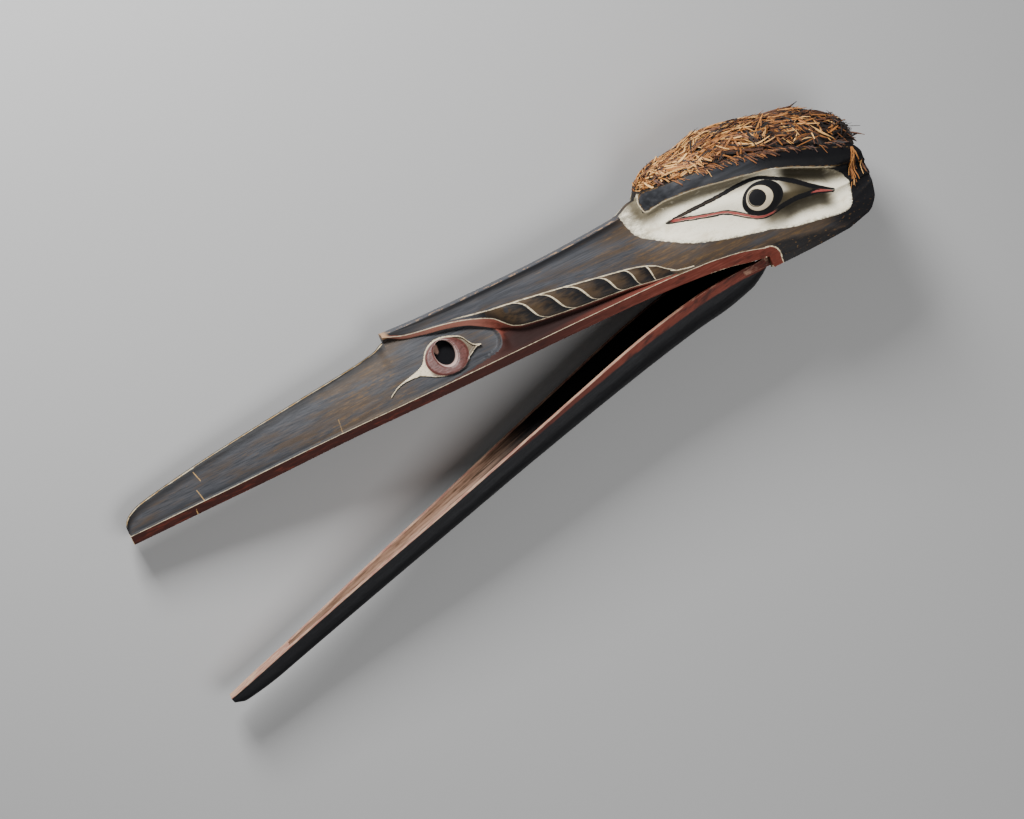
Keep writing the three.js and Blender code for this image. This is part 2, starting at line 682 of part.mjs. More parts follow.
const jaw = new THREE.Group();
jaw.position.set(-HINGE.forward, HINGE.height, 0);
jaw.rotation.z = THREE.MathUtils.degToRad(OPEN_ANGLE);
const lower = lowerBeak();
lower.position.set(HINGE.forward, -HINGE.height, 0);
jaw.add(lower);

const mask = new THREE.Group();
const head = headAndUpperBeak();
mask.add(head, barkCrest(head), jaw);
layDown(mask);

const group = new THREE.Group();
group.add(mask);

export default group;
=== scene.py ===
"""A carved cedar mask of a long-beaked bird, lying on its right side with its hinged lower beak open.

Lengths on the mask are millimetres and angles degrees. A mesh's corners and the studio are in metres.
The mask is worked out in its own frame: forward counts from the corner of the mouth towards the tip, height
from the mouth towards the crown, and wide from the middle plane towards the mask's left side.
"""

import json
import logging
import math
from dataclasses import dataclass
from enum import Enum
from typing import Sequence

import bmesh
import bpy
import numpy as np
from mathutils import Matrix, Vector


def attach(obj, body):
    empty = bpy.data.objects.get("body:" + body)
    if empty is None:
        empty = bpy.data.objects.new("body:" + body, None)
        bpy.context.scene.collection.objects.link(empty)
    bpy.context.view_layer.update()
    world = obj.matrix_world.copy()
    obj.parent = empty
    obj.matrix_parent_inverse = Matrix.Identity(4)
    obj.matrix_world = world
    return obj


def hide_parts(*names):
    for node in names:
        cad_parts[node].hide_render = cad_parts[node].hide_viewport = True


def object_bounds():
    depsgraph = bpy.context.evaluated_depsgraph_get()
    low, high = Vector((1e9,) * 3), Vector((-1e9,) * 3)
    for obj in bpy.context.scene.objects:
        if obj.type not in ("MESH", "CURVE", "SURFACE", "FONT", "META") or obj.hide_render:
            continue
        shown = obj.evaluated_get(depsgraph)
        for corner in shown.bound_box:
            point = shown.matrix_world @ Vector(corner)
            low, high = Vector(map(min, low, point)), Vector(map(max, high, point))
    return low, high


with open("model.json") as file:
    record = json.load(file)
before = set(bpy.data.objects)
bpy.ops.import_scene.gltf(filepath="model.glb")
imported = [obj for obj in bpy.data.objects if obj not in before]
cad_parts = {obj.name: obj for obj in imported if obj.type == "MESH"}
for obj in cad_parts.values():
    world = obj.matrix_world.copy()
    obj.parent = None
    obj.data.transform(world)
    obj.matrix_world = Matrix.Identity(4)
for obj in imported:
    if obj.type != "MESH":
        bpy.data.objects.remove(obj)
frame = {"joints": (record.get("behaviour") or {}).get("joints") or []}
CAD_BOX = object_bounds()
LOG = logging.getLogger("mask")
MM = 0.001

Array = np.ndarray
Piece = bpy.types.Object
Columns = tuple[Array, Array]
Span = tuple[float, float]
Point = tuple[float, float]
Points = tuple[Point, ...]
Oval = tuple[float, float, float, float]
Strips = tuple[Array, Array, Array]
Size = tuple[float, float, float]
Colour = tuple[float, float, float]
Socket = bpy.types.NodeSocket
Value = Socket | str | float
Paint = Socket | Colour


class Side(Enum):
    """A side of the mask, with its sign along the mask's width."""

    LEFT = 1.0
    RIGHT = -1.0

    def named(self, piece: str) -> str:
        """Returns a piece's name with the side's own name after it."""
        return f"{piece}_{self.name.lower()}"


def mix(low: Array, high: Array, share: Array) -> Array:
    """Returns the value that lies the given share of the way from low to high."""
    return low + (high - low) * share


def ease(start: float, end: float, at: Array) -> Array:
    """Returns 0 before start and 1 past end, on a smooth S in between. The two may run either way."""
    share = np.clip((at - start) / (end - start), 0, 1)
    return share * share * (3 - 2 * share)


@dataclass(frozen=True)
class Curve:
    """A smooth line through points that rise in their first number, which never overshoots between two."""

    points: Points

    def __call__(self, at: Array) -> Array:
        """Returns the line's value: a cubic in each gap, with the harmonic mean of both slopes at a point.

        Args:
            at: Where to read the line. Outside its ends it keeps its end value.

        Returns:
            One value for each place.
        """
        x, y = np.array(self.points, float).T
        slope = np.diff(y) / np.diff(x)
        product = slope[:-1] * slope[1:]
        total = np.where(product > 0, slope[:-1] + slope[1:], 1)
        inner = np.where(product > 0, 2 * product / total, 0)
        tangent = np.concatenate((slope[:1], inner, slope[-1:]))
        at = np.clip(np.asarray(at, float), x[0], x[-1])
        i = np.clip(np.searchsorted(x, at, side="right") - 1, 0, len(x) - 2)
        gap = x[i + 1] - x[i]
        t = (at - x[i]) / gap
        bow = t * (1 - t) * gap * (tangent[i] * (1 - t) - tangent[i + 1] * t)
        return y[i] + (y[i + 1] - y[i]) * t * t * (3 - 2 * t) + bow


def curve(*points: Point) -> Curve:
    """Returns a Curve through the points."""
    return Curve(tuple(points))


@dataclass(frozen=True)
class Lengths:
    """The driving lengths along the mask, and its hinge."""

    tip: float = 1236
    hood_tip: float = 699
    socket_front: float = 226
    crown_front: float = 181
    cheek_front: float = 110
    lip_end: float = 12
    rear_start: float = -150
    hollow_end: float = 1060
    trough_end: float = 1105
    lower_tip: float = 1244
    lower_rear: float = 17
    hinge_height: float = 3
    open_angle: float = 15


AT = Lengths()


@dataclass(frozen=True)
class CarvedLines:
    """Heights and half widths of the carved lines, each read at a distance forward."""

    ridge: Curve = curve((181, 185), (240, 178), (320, 173), (400, 170), (500, 169), (620, 170), (697, 173))
    front_ridge: Curve = curve(
        (500, 169), (699, 158), (720, 149), (760, 142), (875, 130), (1054, 110), (1156, 95),
        (1202, 86), (1224, 76), (1233, 67), (1236, 60),
    )
    crown_edge: Curve = curve(
        (-150, 152), (-81, 177), (-31, 191), (19, 200), (81, 205), (160, 206), (170, 204), (177, 198),
        (181, 192),
    )
    brow_edge: Curve = curve(
        (-150, 114), (-64, 150), (-14, 162), (35, 171), (96, 179), (133, 179), (170, 171), (181, 166),
    )
    lid_top: Curve = curve((-152, 68), (-84, 116), (-22, 149), (54, 147), (111, 145), (156, 142), (181, 141))
    lid_foot: Curve = curve(
        (-152, 66), (-102, 80), (-10, 82), (17, 93), (50, 115), (78, 123), (156, 140), (181, 139),
    )
    socket_edge: Curve = curve((-152, 26), (-52, 42), (20, 62), (95, 81), (155, 104), (181, 118))
    lip_top: Curve = curve(
        (-150, 2), (-40, 1), (-12, 4), (-3, 22), (24, 33), (64, 43), (128, 51), (240, 55),
        (611, 54), (880, 52), (1057, 48), (1236, 46),
    )
    lip_foot: Curve = curve(
        (14, 13), (47, 18), (86, 26), (128, 31), (192, 35), (300, 38), (784, 37), (1000, 32), (1236, 30),
    )
    chin: Curve = curve((-150, -6), (-71, -8), (13, -9))
    ladder_top: Curve = curve(
        (177, 61), (195, 73), (209, 84), (242, 96), (320, 110), (394, 122), (470, 133), (511, 138),
        (532, 140), (568, 146), (606, 151), (660, 160), (697, 170),
    )
    ladder_foot: Curve = curve(
        (177, 57), (210, 60), (269, 69), (371, 78), (464, 90), (484, 96), (498, 108), (510, 120), (532, 130),
        (568, 141), (606, 148), (644, 153), (665, 157), (697, 168),
    )
    hood_foot: Curve = curve(
        (470, 86), (484, 91), (498, 97), (511, 102), (532, 114), (556, 127), (594, 137), (630, 143),
        (666, 151), (683, 160), (697, 167),
    )
    hollow_roof: Curve = curve(
        (-150, 143), (-100, 158), (-60, 165), (60, 165), (110, 146), (150, 130), (190, 116), (250, 106),
        (400, 92), (600, 80), (800, 70), (950, 58), (1060, 46),
    )
    brow_width: Curve = curve(
        (-150, 85), (-60, 90), (0, 89), (40, 87), (84, 79), (120, 66), (140, 53), (160, 36), (172, 22),
        (181, 16),
    )
    socket_width: Curve = curve(
        (-152, 90), (-100, 96), (0, 95), (60, 90), (100, 85), (125, 78), (155, 68), (181, 57),
    )
    upper_width: Curve = curve(
        (-232, 84), (-150, 94), (-100, 98), (-60, 99), (0, 97), (100, 93), (210, 87), (400, 77), (600, 68),
        (700, 61), (800, 51), (900, 41.5), (1000, 33), (1100, 25.5), (1200, 21), (1236, 19),
    )
    lower_width: Curve = curve(
        (0, 83.5), (100, 80), (210, 74), (400, 64), (600, 56), (700, 50), (800, 43), (900, 35), (1000, 27.5),
        (1100, 21), (1200, 18), (1244, 14),
    )
    ladder_top_width: Curve = curve(
        (177, 78), (210, 75), (320, 69), (400, 64), (511, 57), (532, 44), (606, 29), (697, 15),
    )
    ladder_foot_width: Curve = curve(
        (177, 87), (269, 80), (371, 74), (464, 69), (498, 58), (532, 45), (606, 31), (665, 20), (697, 16),
    )
    ridge_strip: Curve = curve((181, 15), (300, 14), (697, 11))
    lower_rim: Curve = curve(
        (16, 13), (78, 29), (147, 40), (218, 45), (290, 47), (432, 44), (560, 41), (725, 36.5), (930, 33),
        (1032, 30), (1236, 25),
    )
    lower_keel: Curve = curve(
        (16, -9), (34, -20), (62, -28), (100, -29), (188, -21), (317, -14), (475, -9), (630, -6), (940, -5),
        (1143, -5), (1225, 1), (1244, 12),
    )
    bark_top: Curve = curve(
        (-238, 150), (-228, 176), (-190, 205), (-150, 226), (-98, 236), (-40, 248), (20, 254), (62, 245),
        (124, 238), (154, 226), (171, 209),
    )
    bark_width: Curve = curve(
        (-238, 48), (-200, 66), (-150, 79), (-60, 86), (0, 85), (84, 75), (124, 60), (154, 38), (171, 16),
    )


LINES = CarvedLines()


@dataclass(frozen=True)
class MaskFrame:
    """The mask's own axes and the middle of its hinge line, in the frame that the object is packed in."""

    hinge: Array
    back: Array
    crown: Array
    left: Array

    @classmethod
    def from_hinge(cls, joint: dict) -> "MaskFrame":
        """Returns the frame that the hinge gives: its axis is the mask's left, and back is level.

        Args:
            joint: The hinge, with its place and axis.

        Returns:
            The frame.
        """
        left = np.array(joint["axis"], float)
        left /= np.linalg.norm(left)
        back = np.cross((0.0, 1.0, 0.0), left)
        back /= np.linalg.norm(back)
        return cls(np.array(joint["pos_m"], float), back, np.cross(left, back), left)

    def turned(self, forward: float, height: float, wide: float) -> Vector:
        """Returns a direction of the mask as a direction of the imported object."""
        return Vector(height * self.crown - forward * self.back + wide * self.left)

    def place(self, forward: Array, height: Array, wide: Array) -> Array:
        """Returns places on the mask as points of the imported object, in metres."""
        forward, height, wide = (np.asarray(part, float)[..., None] for part in (forward, height, wide))
        offset = (height - AT.hinge_height) * self.crown - forward * self.back + wide * self.left
        return self.hinge + MM * offset


FRAME = MaskFrame.from_hinge(frame["joints"][0])


def opened(forward: Array, height: Array) -> tuple[Array, Array]:
    """Turns places of the lower beak from the shut mouth to the open one, about the hinge.

    Args:
        forward: Distances forward with the mouth shut.
        height: Heights with the mouth shut.

    Returns:
        The same places with the mouth open.
    """
    angle = math.radians(AT.open_angle)
    rise = height - AT.hinge_height
    turned_forward = forward * math.cos(angle) + rise * math.sin(angle)
    return turned_forward, rise * math.cos(angle) - forward * math.sin(angle) + AT.hinge_height


def smooth_path(points: Sequence[Point], closed: bool = False, per_gap: int = 8) -> Array:
    """Draws a Catmull-Rom line through points.

    Args:
        points: The points that the line passes.
        closed: Whether the line returns to its first point.
        per_gap: How many points each gap gives.

    Returns:
        The line's points, of shape (n, 2).
    """
    p = np.array(points, float)
    if closed:
        before, after, last = np.roll(p, 1, 0), np.roll(p, -1, 0), np.roll(p, -2, 0)
    else:
        before = np.vstack((p[:1], p[:-2]))
        after = p[1:]
        last = np.vstack((p[2:], p[-1:]))
        p = p[:-1]
    t = (np.arange(per_gap) / per_gap)[None, :, None]
    a, b, c, d = (part[:, None, :] for part in (before, p, after, last))
    line = b + 0.5 * t * (c - a + t * (2 * a - 5 * b + 4 * c - d + t * (3 * (b - c) + d - a)))
    line = line.reshape(-1, 2)
    return line if closed else np.vstack((line, after[-1:]))


def signed_distance(spots: Array, loop: Array, reach: float = 40) -> Array:
    """Measures how far spots lie inside a loop.

    The distance is the least over all of the loop's segments, and the side comes from an even-odd count.

    Args:
        spots: Points as an array of shape (n, 2).
        loop: The loop's corners as an array of shape (m, 2).
        reach: The furthest distance outside the loop that matters.

    Returns:
        The distances, negative outside the loop, and no less than -reach.
    """
    result = np.full(len(spots), -reach)
    near = np.all((spots > loop.min(0) - reach) & (spots < loop.max(0) + reach), axis=1)
    a, b = loop, np.roll(loop, -1, 0)
    run = b - a
    length = np.maximum((run * run).sum(1), 1e-12)
    for chunk in np.array_split(np.nonzero(near)[0], max(1, int(near.sum()) // 8000)):
        p = spots[chunk][:, None, :]
        share = np.clip(((p - a) * run).sum(2) / length, 0, 1)
        gap = p - (a + share[..., None] * run)
        distance = np.sqrt((gap * gap).sum(2).min(1))
        crosses = (a[:, 1] > p[..., 1]) != (b[:, 1] > p[..., 1])
        at = a[:, 0] + (p[..., 1] - a[:, 1]) / np.where(run[:, 1] == 0, 1e-9, run[:, 1]) * run[:, 0]
        inside = (crosses & (p[..., 0] < at)).sum(1) % 2 == 1
        result[chunk] = np.where(inside, distance, -distance)
    return np.maximum(result, -reach)


def path_distance(spots: Array, path: Sequence[Point]) -> Array:
    """Returns how far spots lie from an open path, as the least distance to any of its segments."""
    line = np.array(path, float)
    result = np.full(len(spots), np.inf)
    for a, b in zip(line[:-1], line[1:]):
        run = b - a
        share = np.clip(((spots - a) @ run) / (run @ run), 0, 1)
        result = np.minimum(result, np.linalg.norm(spots - a - share[:, None] * run, axis=1))
    return result


@dataclass(frozen=True)
class PaintedShapes:
    """The painted shapes of one side of the mask, as (forward, height) points seen from the side.

    The edge of the recess round the nostril is carved, and is given as (height, forward) points.
    """

    socket: Points = (
        (220, 186), (218, 170), (214, 155), (207, 138), (184, 121), (155, 104), (125, 90), (95, 81), (63, 72),
        (-2, 57), (-52, 42), (-102, 33), (-151, 25), (-173, 32), (-186, 56), (-183, 83), (-172, 97),
        (-150, 112), (-134, 121), (-64, 151), (-14, 163), (35, 172), (96, 180), (133, 181), (152, 177),
        (170, 171), (178, 170), (179, 184), (178, 205), (190, 204), (205, 198), (218, 192),
    )
    brow: Points = (
        (175, 172), (178, 185), (176, 197), (170, 204), (156, 206), (130, 206), (81, 205), (19, 200),
        (-31, 191), (-81, 177), (-133, 158), (-185, 138), (-205, 129), (-212, 116), (-206, 104), (-186, 100),
        (-134, 121), (-64, 150), (-14, 162), (35, 171), (96, 179), (133, 179), (152, 176), (170, 170),
    )
    almond_top: Points = (
        (150, 139.5), (111, 144.5), (54, 148), (14, 151), (-22, 149), (-56, 133), (-84, 116), (-115, 92),
        (-151, 67),
    )
    almond_foot: Points = (
        (-120, 79), (-102, 81), (-78, 84), (-51, 83), (-22, 79), (-2, 82), (17, 92), (50, 114), (78, 122),
        (118, 132),
    )
    lip_corner: Points = (
        (128, 52), (64, 43), (24, 33), (1, 27), (-9, 14), (-7, -6), (-8, -40),
    )
    groove: Points = (
        (180, 56), (210, 60), (236, 65), (269, 69), (320, 73), (371, 78), (413, 84), (439, 87), (464, 89),
        (482, 95), (498, 108), (510, 120), (532, 130), (569, 142), (606, 148), (643, 153), (665, 157),
        (680, 164), (700, 171), (690, 163), (666, 151), (630, 143), (594, 137), (556, 127), (532, 114),
        (516, 103), (510, 88), (518, 72), (536, 65), (570, 60), (620, 56), (640, 53), (500, 53), (300, 54),
        (200, 53),
    )
    feather_pitch: float = 44.0
    nicks: tuple[Points, ...] = (
        ((1093, 98), (1088, 79.5)), ((1101, 68.5), (1096.5, 47)), ((1115.5, 40.5), (1117, 31)),
        ((829.8, 76), (833.8, 52)),
    )
    strokes: tuple[Points, ...] = (
        ((188, 66), (179, 62), (168, 59.5), (158, 57.5), (147, 56)),
        ((128, 32), (86, 27), (47, 19), (18, 14.5), (15, 3), (12, -9)),
    )
    front_edge: Points = (
        (600, 171), *LINES.front_ridge.points[1:-1], (1236.5, 58), (1236.5, -40), (600, -40),
    )
    recess_edge: Points = (
        (56, 575), (65, 537), (72, 519), (80, 512), (88, 509), (103, 512), (112, 522), (122, 545), (130, 570),
    )


SHAPES = PaintedShapes()


@dataclass(frozen=True)
class Ovals:
    """The painted rings of the eye, its ball, the painted shade of a dent and the nostril's dip: forward,
    height, half length, half height.
    """

    iris_black: Oval = (-17.5, 113.5, 40.5, 30)
    iris_cream: Oval = (-11, 116, 25.5, 22)
    pupil: Oval = (-5.5, 118.5, 17.5, 16)
    dent: Oval = (486, 127, 4, 6)
    ball: Oval = (-16, 115, 45, 35)
    nostril_dip: Oval = (613, 101, 18, 22)


OVALS = Ovals()


def oval_radius(forward: Array, height: Array, oval: Oval) -> Array:
    """Returns how far out places lie from an oval's middle, as a share that is 1 on its edge."""
    at, up, long, high = oval
    return np.hypot((forward - at) / long, (height - up) / high)


def oval_distance(forward: Array, height: Array, oval: Oval) -> Array:
    """Returns about how far places lie inside an oval, in millimetres."""
    return (1 - oval_radius(forward, height, oval)) * min(oval[2:])


@dataclass(frozen=True)
class Rows:
    """Sections of a carving: rows of (forward, wide, height), each an array of stations by rows."""

    forward: Array
    wide: Array
    height: Array

    @classmethod
    def straight(cls, forward: Array, wide: Array, height: Array) -> "Rows":
        """Returns rows of straight sections, each of which lies at one distance forward."""
        return cls(np.repeat(forward[:, None], wide.shape[1], 1), wide, height)

    def followed_by(self, other: "Rows") -> "Rows":
        """Returns these stations and the other's after them."""
        parts = ("forward", "wide", "height")
        return Rows(*[np.concatenate((getattr(self, part), getattr(other, part))) for part in parts])

    def finer(self, counts: Sequence[int], hard: Sequence[int]) -> "Rows":
        """Puts rows on cubics between the given ones, with a crease at hard rows.

        Each cubic starts and ends with the harmonic mean of the steps before and after its row, and with
        its own step where the row is hard.

        Args:
            counts: How many rows each gap gives.
            hard: The rows that keep their crease.

        Returns:
            The rows, closer together.
        """
        gap = np.repeat(np.arange(len(counts)), counts)
        share = np.concatenate([np.arange(count) / count for count in counts])
        gap = np.append(gap, len(counts) - 1)
        share = np.append(share, 1.0)
        crease = np.zeros(len(counts) + 1, bool)
        crease[[0, len(counts), *hard]] = True

        def refined(value: Array) -> Array:
            """Returns one value of the rows, read on the cubics."""
            step = np.diff(value, axis=1)
            product = step[:, :-1] * step[:, 1:]
            total = np.where(product > 0, step[:, :-1] + step[:, 1:], 1)
            soft = np.pad(np.where(product > 0, 2 * product / total, 0), ((0, 0), (1, 1)))
            start = np.where(crease[:-1], step, soft[:, :-1])[:, gap]
            end = np.where(crease[1:], step, soft[:, 1:])[:, gap]
            bow = share * (1 - share) * (start * (1 - share) - end * share)
            return value[:, gap] + step[:, gap] * share * share * (3 - 2 * share) + bow

        return Rows(refined(self.forward), refined(self.wide), refined(self.height))


def joined_rows(*columns: Columns) -> Columns:
    """Returns (wide, height) pairs of columns as two arrays of stations by rows."""
    wide, height = (
        np.stack(np.broadcast_arrays(*[np.asarray(part, float) for part in parts]), axis=1)
        for parts in zip(*columns)
    )
    return wide, height


def new_piece(
    name: str, points: Array, quads: Array, triangles: Array = np.zeros((0, 3), int)
) -> Piece:
    """Makes a mesh object.

    Args:
        name: The piece's name.
        points: Corners in metres, of shape (n, 3).
        quads: Corner numbers of four-sided faces.
        triangles: Corner numbers of three-sided faces.

    Returns:
        The new object, linked to the scene.
    """
    mesh = bpy.data.meshes.new(name)
    corners = np.concatenate((quads.ravel(), triangles.ravel())).astype(np.int32)
    sizes = np.concatenate((np.full(len(quads), 4), np.full(len(triangles), 3))).astype(np.int32)
    mesh.vertices.add(len(points))
    mesh.vertices.foreach_set("co", points.astype(np.float32).ravel())
    mesh.loops.add(len(corners))
    mesh.loops.foreach_set("vertex_index", corners)
    mesh.polygons.add(len(sizes))
    starts = np.concatenate(([0], np.cumsum(sizes)[:-1])).astype(np.int32)
    mesh.polygons.foreach_set("loop_start", starts)
    mesh.polygons.foreach_set("loop_total", sizes)
    mesh.update(calc_edges=True)
    mesh.validate()
    piece = bpy.data.objects.new(name, mesh)
    bpy.context.scene.collection.objects.link(piece)
    return piece


def shade(piece: Piece, crease: float) -> None:
    """Turns the faces outwards and shades them smoothly, with edges at folds of more than crease."""
    work = bmesh.new()
    work.from_mesh(piece.data)
    bmesh.ops.recalc_face_normals(work, faces=work.faces)
    work.to_mesh(piece.data)
    work.free()
    piece.data.shade_smooth()
    piece.data.set_sharp_from_angle(angle=math.radians(crease))


def keep(piece: Piece, **stored: Array) -> None:
    """Stores numbers or vectors on the piece under names, one for each corner point."""
    for name, values in stored.items():
        kind, key = ("FLOAT", "value") if values.ndim == 1 else ("FLOAT_VECTOR", "vector")
        store = piece.data.attributes.new(name, kind, "POINT")
        store.data.foreach_set(key, values.astype(np.float32).ravel())


def grid(*shape: int) -> Array:
    """Returns corner numbers from 0 on, in an array of the given shape."""
    return np.arange(math.prod(shape)).reshape(shape)


def tube(number: Array) -> Array:
    """Returns four-sided faces between the rings of a tube, or of many, whose corners are numbered."""
    onward = np.roll(number, -1, -1)
    near, far = np.s_[..., :-1, :], np.s_[..., 1:, :]
    return np.stack((number[near], onward[near], onward[far], number[far]), -1).reshape(-1, 4)


def fan(loop: Array, middle: int) -> Array:
    """Returns triangles from a closed loop of corner numbers to the corner in its middle."""
    return np.stack((loop, np.roll(loop, -1), np.full(len(loop), middle)), 1)


def strip(first: Array, second: Array) -> Array:
    """Returns triangles between two lines of corner numbers that may differ in length.

    Every segment of one line meets the corner of the other line that its middle falls nearest to.
    """
    n, m = len(first) - 1, len(second) - 1
    middle_n = (np.arange(n) + 0.5) / n
    middle_m = (np.arange(m) + 0.5) / m
    over = np.stack((first[:-1], first[1:], second[np.searchsorted(middle_m, middle_n)]), 1)
    under = np.stack(
        (second[:-1], first[np.searchsorted(middle_n, middle_m, side="right")], second[1:]), 1
    )
    return np.concatenate((over, under))


@dataclass
class Shell:
    """A hollow carving made of mirrored half rings, from one end to the other."""

    outer: Rows
    inner: Rows

    def ring(self, value: str, mirror: float = 1.0) -> Array:
        """Returns one value of every whole ring: the outer rows, the inner rows back, and their mirror."""
        half = np.concatenate((getattr(self.outer, value), getattr(self.inner, value)[:, ::-1]), axis=1)
        return np.concatenate((half, mirror * half[:, -2:0:-1]), axis=1)

    def outside(self) -> Array:
        """Returns 1 for each corner of the outer surface and 0 for each of the hollow, ring by ring."""
        stations, outer = self.outer.wide.shape
        half = np.concatenate((np.ones(outer), np.zeros(self.inner.wide.shape[1])))
        return np.tile(np.concatenate((half, half[-2:0:-1])), stations)

    def build(self, name: str, turn: bool) -> tuple[Piece, Array]:
        """Makes the closed mesh.

        Args:
            name: The piece's name.
            turn: Whether the rings are drawn with the mouth shut and turn about the hinge.

        Returns:
            The object, and its corners as (forward, height, wide) as drawn.
        """
        forward, height, wide = self.ring("forward"), self.ring("height"), self.ring("wide", -1.0)
        stations, size = forward.shape
        drawn = np.stack((forward.ravel(), height.ravel(), wide.ravel()), 1)
        at, up = opened(drawn[:, 0], drawn[:, 1]) if turn else (drawn[:, 0], drawn[:, 1])
        number = grid(stations, size)
        n, m = self.outer.wide.shape[1], self.inner.wide.shape[1]
        triangles = []
        for loop in (number[0], number[-1]):
            outer = loop[:n]
            inner = loop[n:n + m][::-1]
            other = np.concatenate((loop[:1], loop[:-n:-1]))
            inner_other = np.concatenate((inner[:1], loop[n + m:n + 2 * m - 1]))[:m]
            triangles += [strip(outer, inner), strip(other, inner_other)]
        points = FRAME.place(at, up, drawn[:, 2])
        return new_piece(name, points, tube(number), np.concatenate(triangles)), drawn


@dataclass
class HeadCarving:
    """The head and upper beak, carved from one log and hollowed from behind and below."""

    front_strip: float = 3.5
    brow_proud: float = 5
    brow_cut: float = 6
    brow_drop: float = 10
    crown_rise: float = 0.16
    lid_bulge: float = 8
    lid_high: float = 60
    socket_dish: float = 4
    cheek_wall: float = 14.5
    head_wall_top: float = 38
    slide_gap: float = 1.5
    groove_depth: float = 10
    band_bulge: float = 4
    band_held: float = 209
    feather_swell: float = 2.2
    outer_counts: tuple[int, ...] = (3, 4, 4, 5, 3, 6, 6, 6, 6, 6, 6, 4, 5, 8, 8, 8, 7, 1, 5)
    outer_hard: tuple[int, ...] = (2, 4, 5, 7, 9, 11, 12, 13, 18)
    head_hard: tuple[int, ...] = (2, 4, 5, 7, 9, 11, 18)
    inner_counts: tuple[int, ...] = (3, 4, 5, 5)
    inner_hard: tuple[int, ...] = (1, 3)
    outer_ends: tuple[float, ...] = (151, 146, 134, 113, 92)
    inner_ends: tuple[float, ...] = (134, 132, 112, 50, 4)
    chin_end: float = 4
    rear_middle: float = 75
    rear_half: float = 81
    rear_bulge: float = 82
    rear_power: float = 2.4
    rear_stations: int = 28
    cut_tops: tuple[float, ...] = (176, 226, 266, 315, 375, 422, 471, 520)
    cut_feet: tuple[float, ...] = (170, 219, 246, 279, 325, 368, 419, 470)
    cut_bend: float = 0.42
    ball_round: float = 13
    ball_sunk: float = 7.5
    brow_scoop: float = 6
    cheek_scoop: Span = (6.5, 2.5)
    nostril_depth: float = 20
    recess_depth: float = 7

    def front_side(self, forward: Array, height: Array) -> Array:
        """Returns the half width of the front's side, which grows with the drop below its ridge to 0.8."""
        top = LINES.front_ridge(forward)
        share = np.clip((top - height) / (top - LINES.lip_top(forward)), 0, 1)
        return self.front_strip + (LINES.upper_width(forward) - 1 - self.front_strip) * share**0.8

    def front_rows(self, f: Array) -> Columns:
        """Returns the rows of the beak's front: a narrow worn ridge, a slightly full side and the lip."""
        top, wide, lip = LINES.front_ridge(f), LINES.upper_width(f), LINES.lip_top(f)
        strip = self.front_strip
        columns = [(0 * f, top), (strip / 2, top), (strip, top - 0.5)]
        near_hood = ease(900, AT.hood_tip, f)
        for i in range(1, 16):
            gathered = 0.0004 * i if i <= 10 else mix(0.005, 1, (i - 11) / 4)
            height = mix(top - 0.5, lip + 3, mix(i / 15, gathered, near_hood))
            columns.append((self.front_side(f, height), height))
        return joined_rows(*columns, (wide + 1, lip), (wide, LINES.lip_foot(f)))

    def band_swell(self, f: Array) -> Array:
        """Returns how full the feather band is, which dies out at both ends."""
        return self.band_bulge * ease(185, 245, f) * ease(520, 460, f)

    def ridge_rows(self, f: Array) -> Columns:
        """Returns the rows behind the hood's tip: flat ridge, hollow side, feather band, groove and lip."""
        top, strip = LINES.ridge(f), LINES.ridge_strip(f)
        wide, lip = LINES.upper_width(f), LINES.lip_top(f)
        held = self.band_held + 10 * np.logaddexp(0, (f - self.band_held) / 10)
        band_top = (LINES.ladder_top_width(held), LINES.ladder_top(held))
        band_foot = (LINES.ladder_foot_width(f), LINES.ladder_foot(f))
        shoulder = (strip + 1.5, top - np.minimum(7, (top - band_top[1]) / 4))
        columns = [(0 * f, top), (strip / 2, top), (strip, top - 0.8), shoulder]
        for i in range(1, 6):
            t = i / 6
            columns.append((mix(shoulder[0], band_top[0], t**1.7), mix(shoulder[1], band_top[1], t)))
        middle = mix(band_top[0], band_foot[0], 0.5) + self.band_swell(f)
        columns += [band_top, (middle, mix(band_top[1], band_foot[1], 0.5)), band_foot]
        in_hood = ease(470, 500, f)
        hood_foot = np.minimum(mix(band_foot[1] - 3, LINES.hood_foot(f), in_hood), band_foot[1] - 1)
        hood_foot = np.maximum(hood_foot, lip + 4.5)
        columns.append((band_foot[0] - mix(1, 3, in_hood), hood_foot))
        recess = ease(499, 515, f)
        groove = self.groove_depth * ease(180, 300, f)
        start = np.minimum(np.maximum(hood_foot - 2, lip + 4), LINES.front_ridge(f) - 0.5)
        for i in range(5):
            t = i / 4
            height = mix(start, lip + 3, t)
            sunk = mix(band_foot[0] - groove, wide - 3, t) - groove * t * (1 - t)
            columns.append((mix(sunk, self.front_side(f, height), recess), height))
        return joined_rows(*columns, (wide + 1, lip), (wide, LINES.lip_foot(f)))

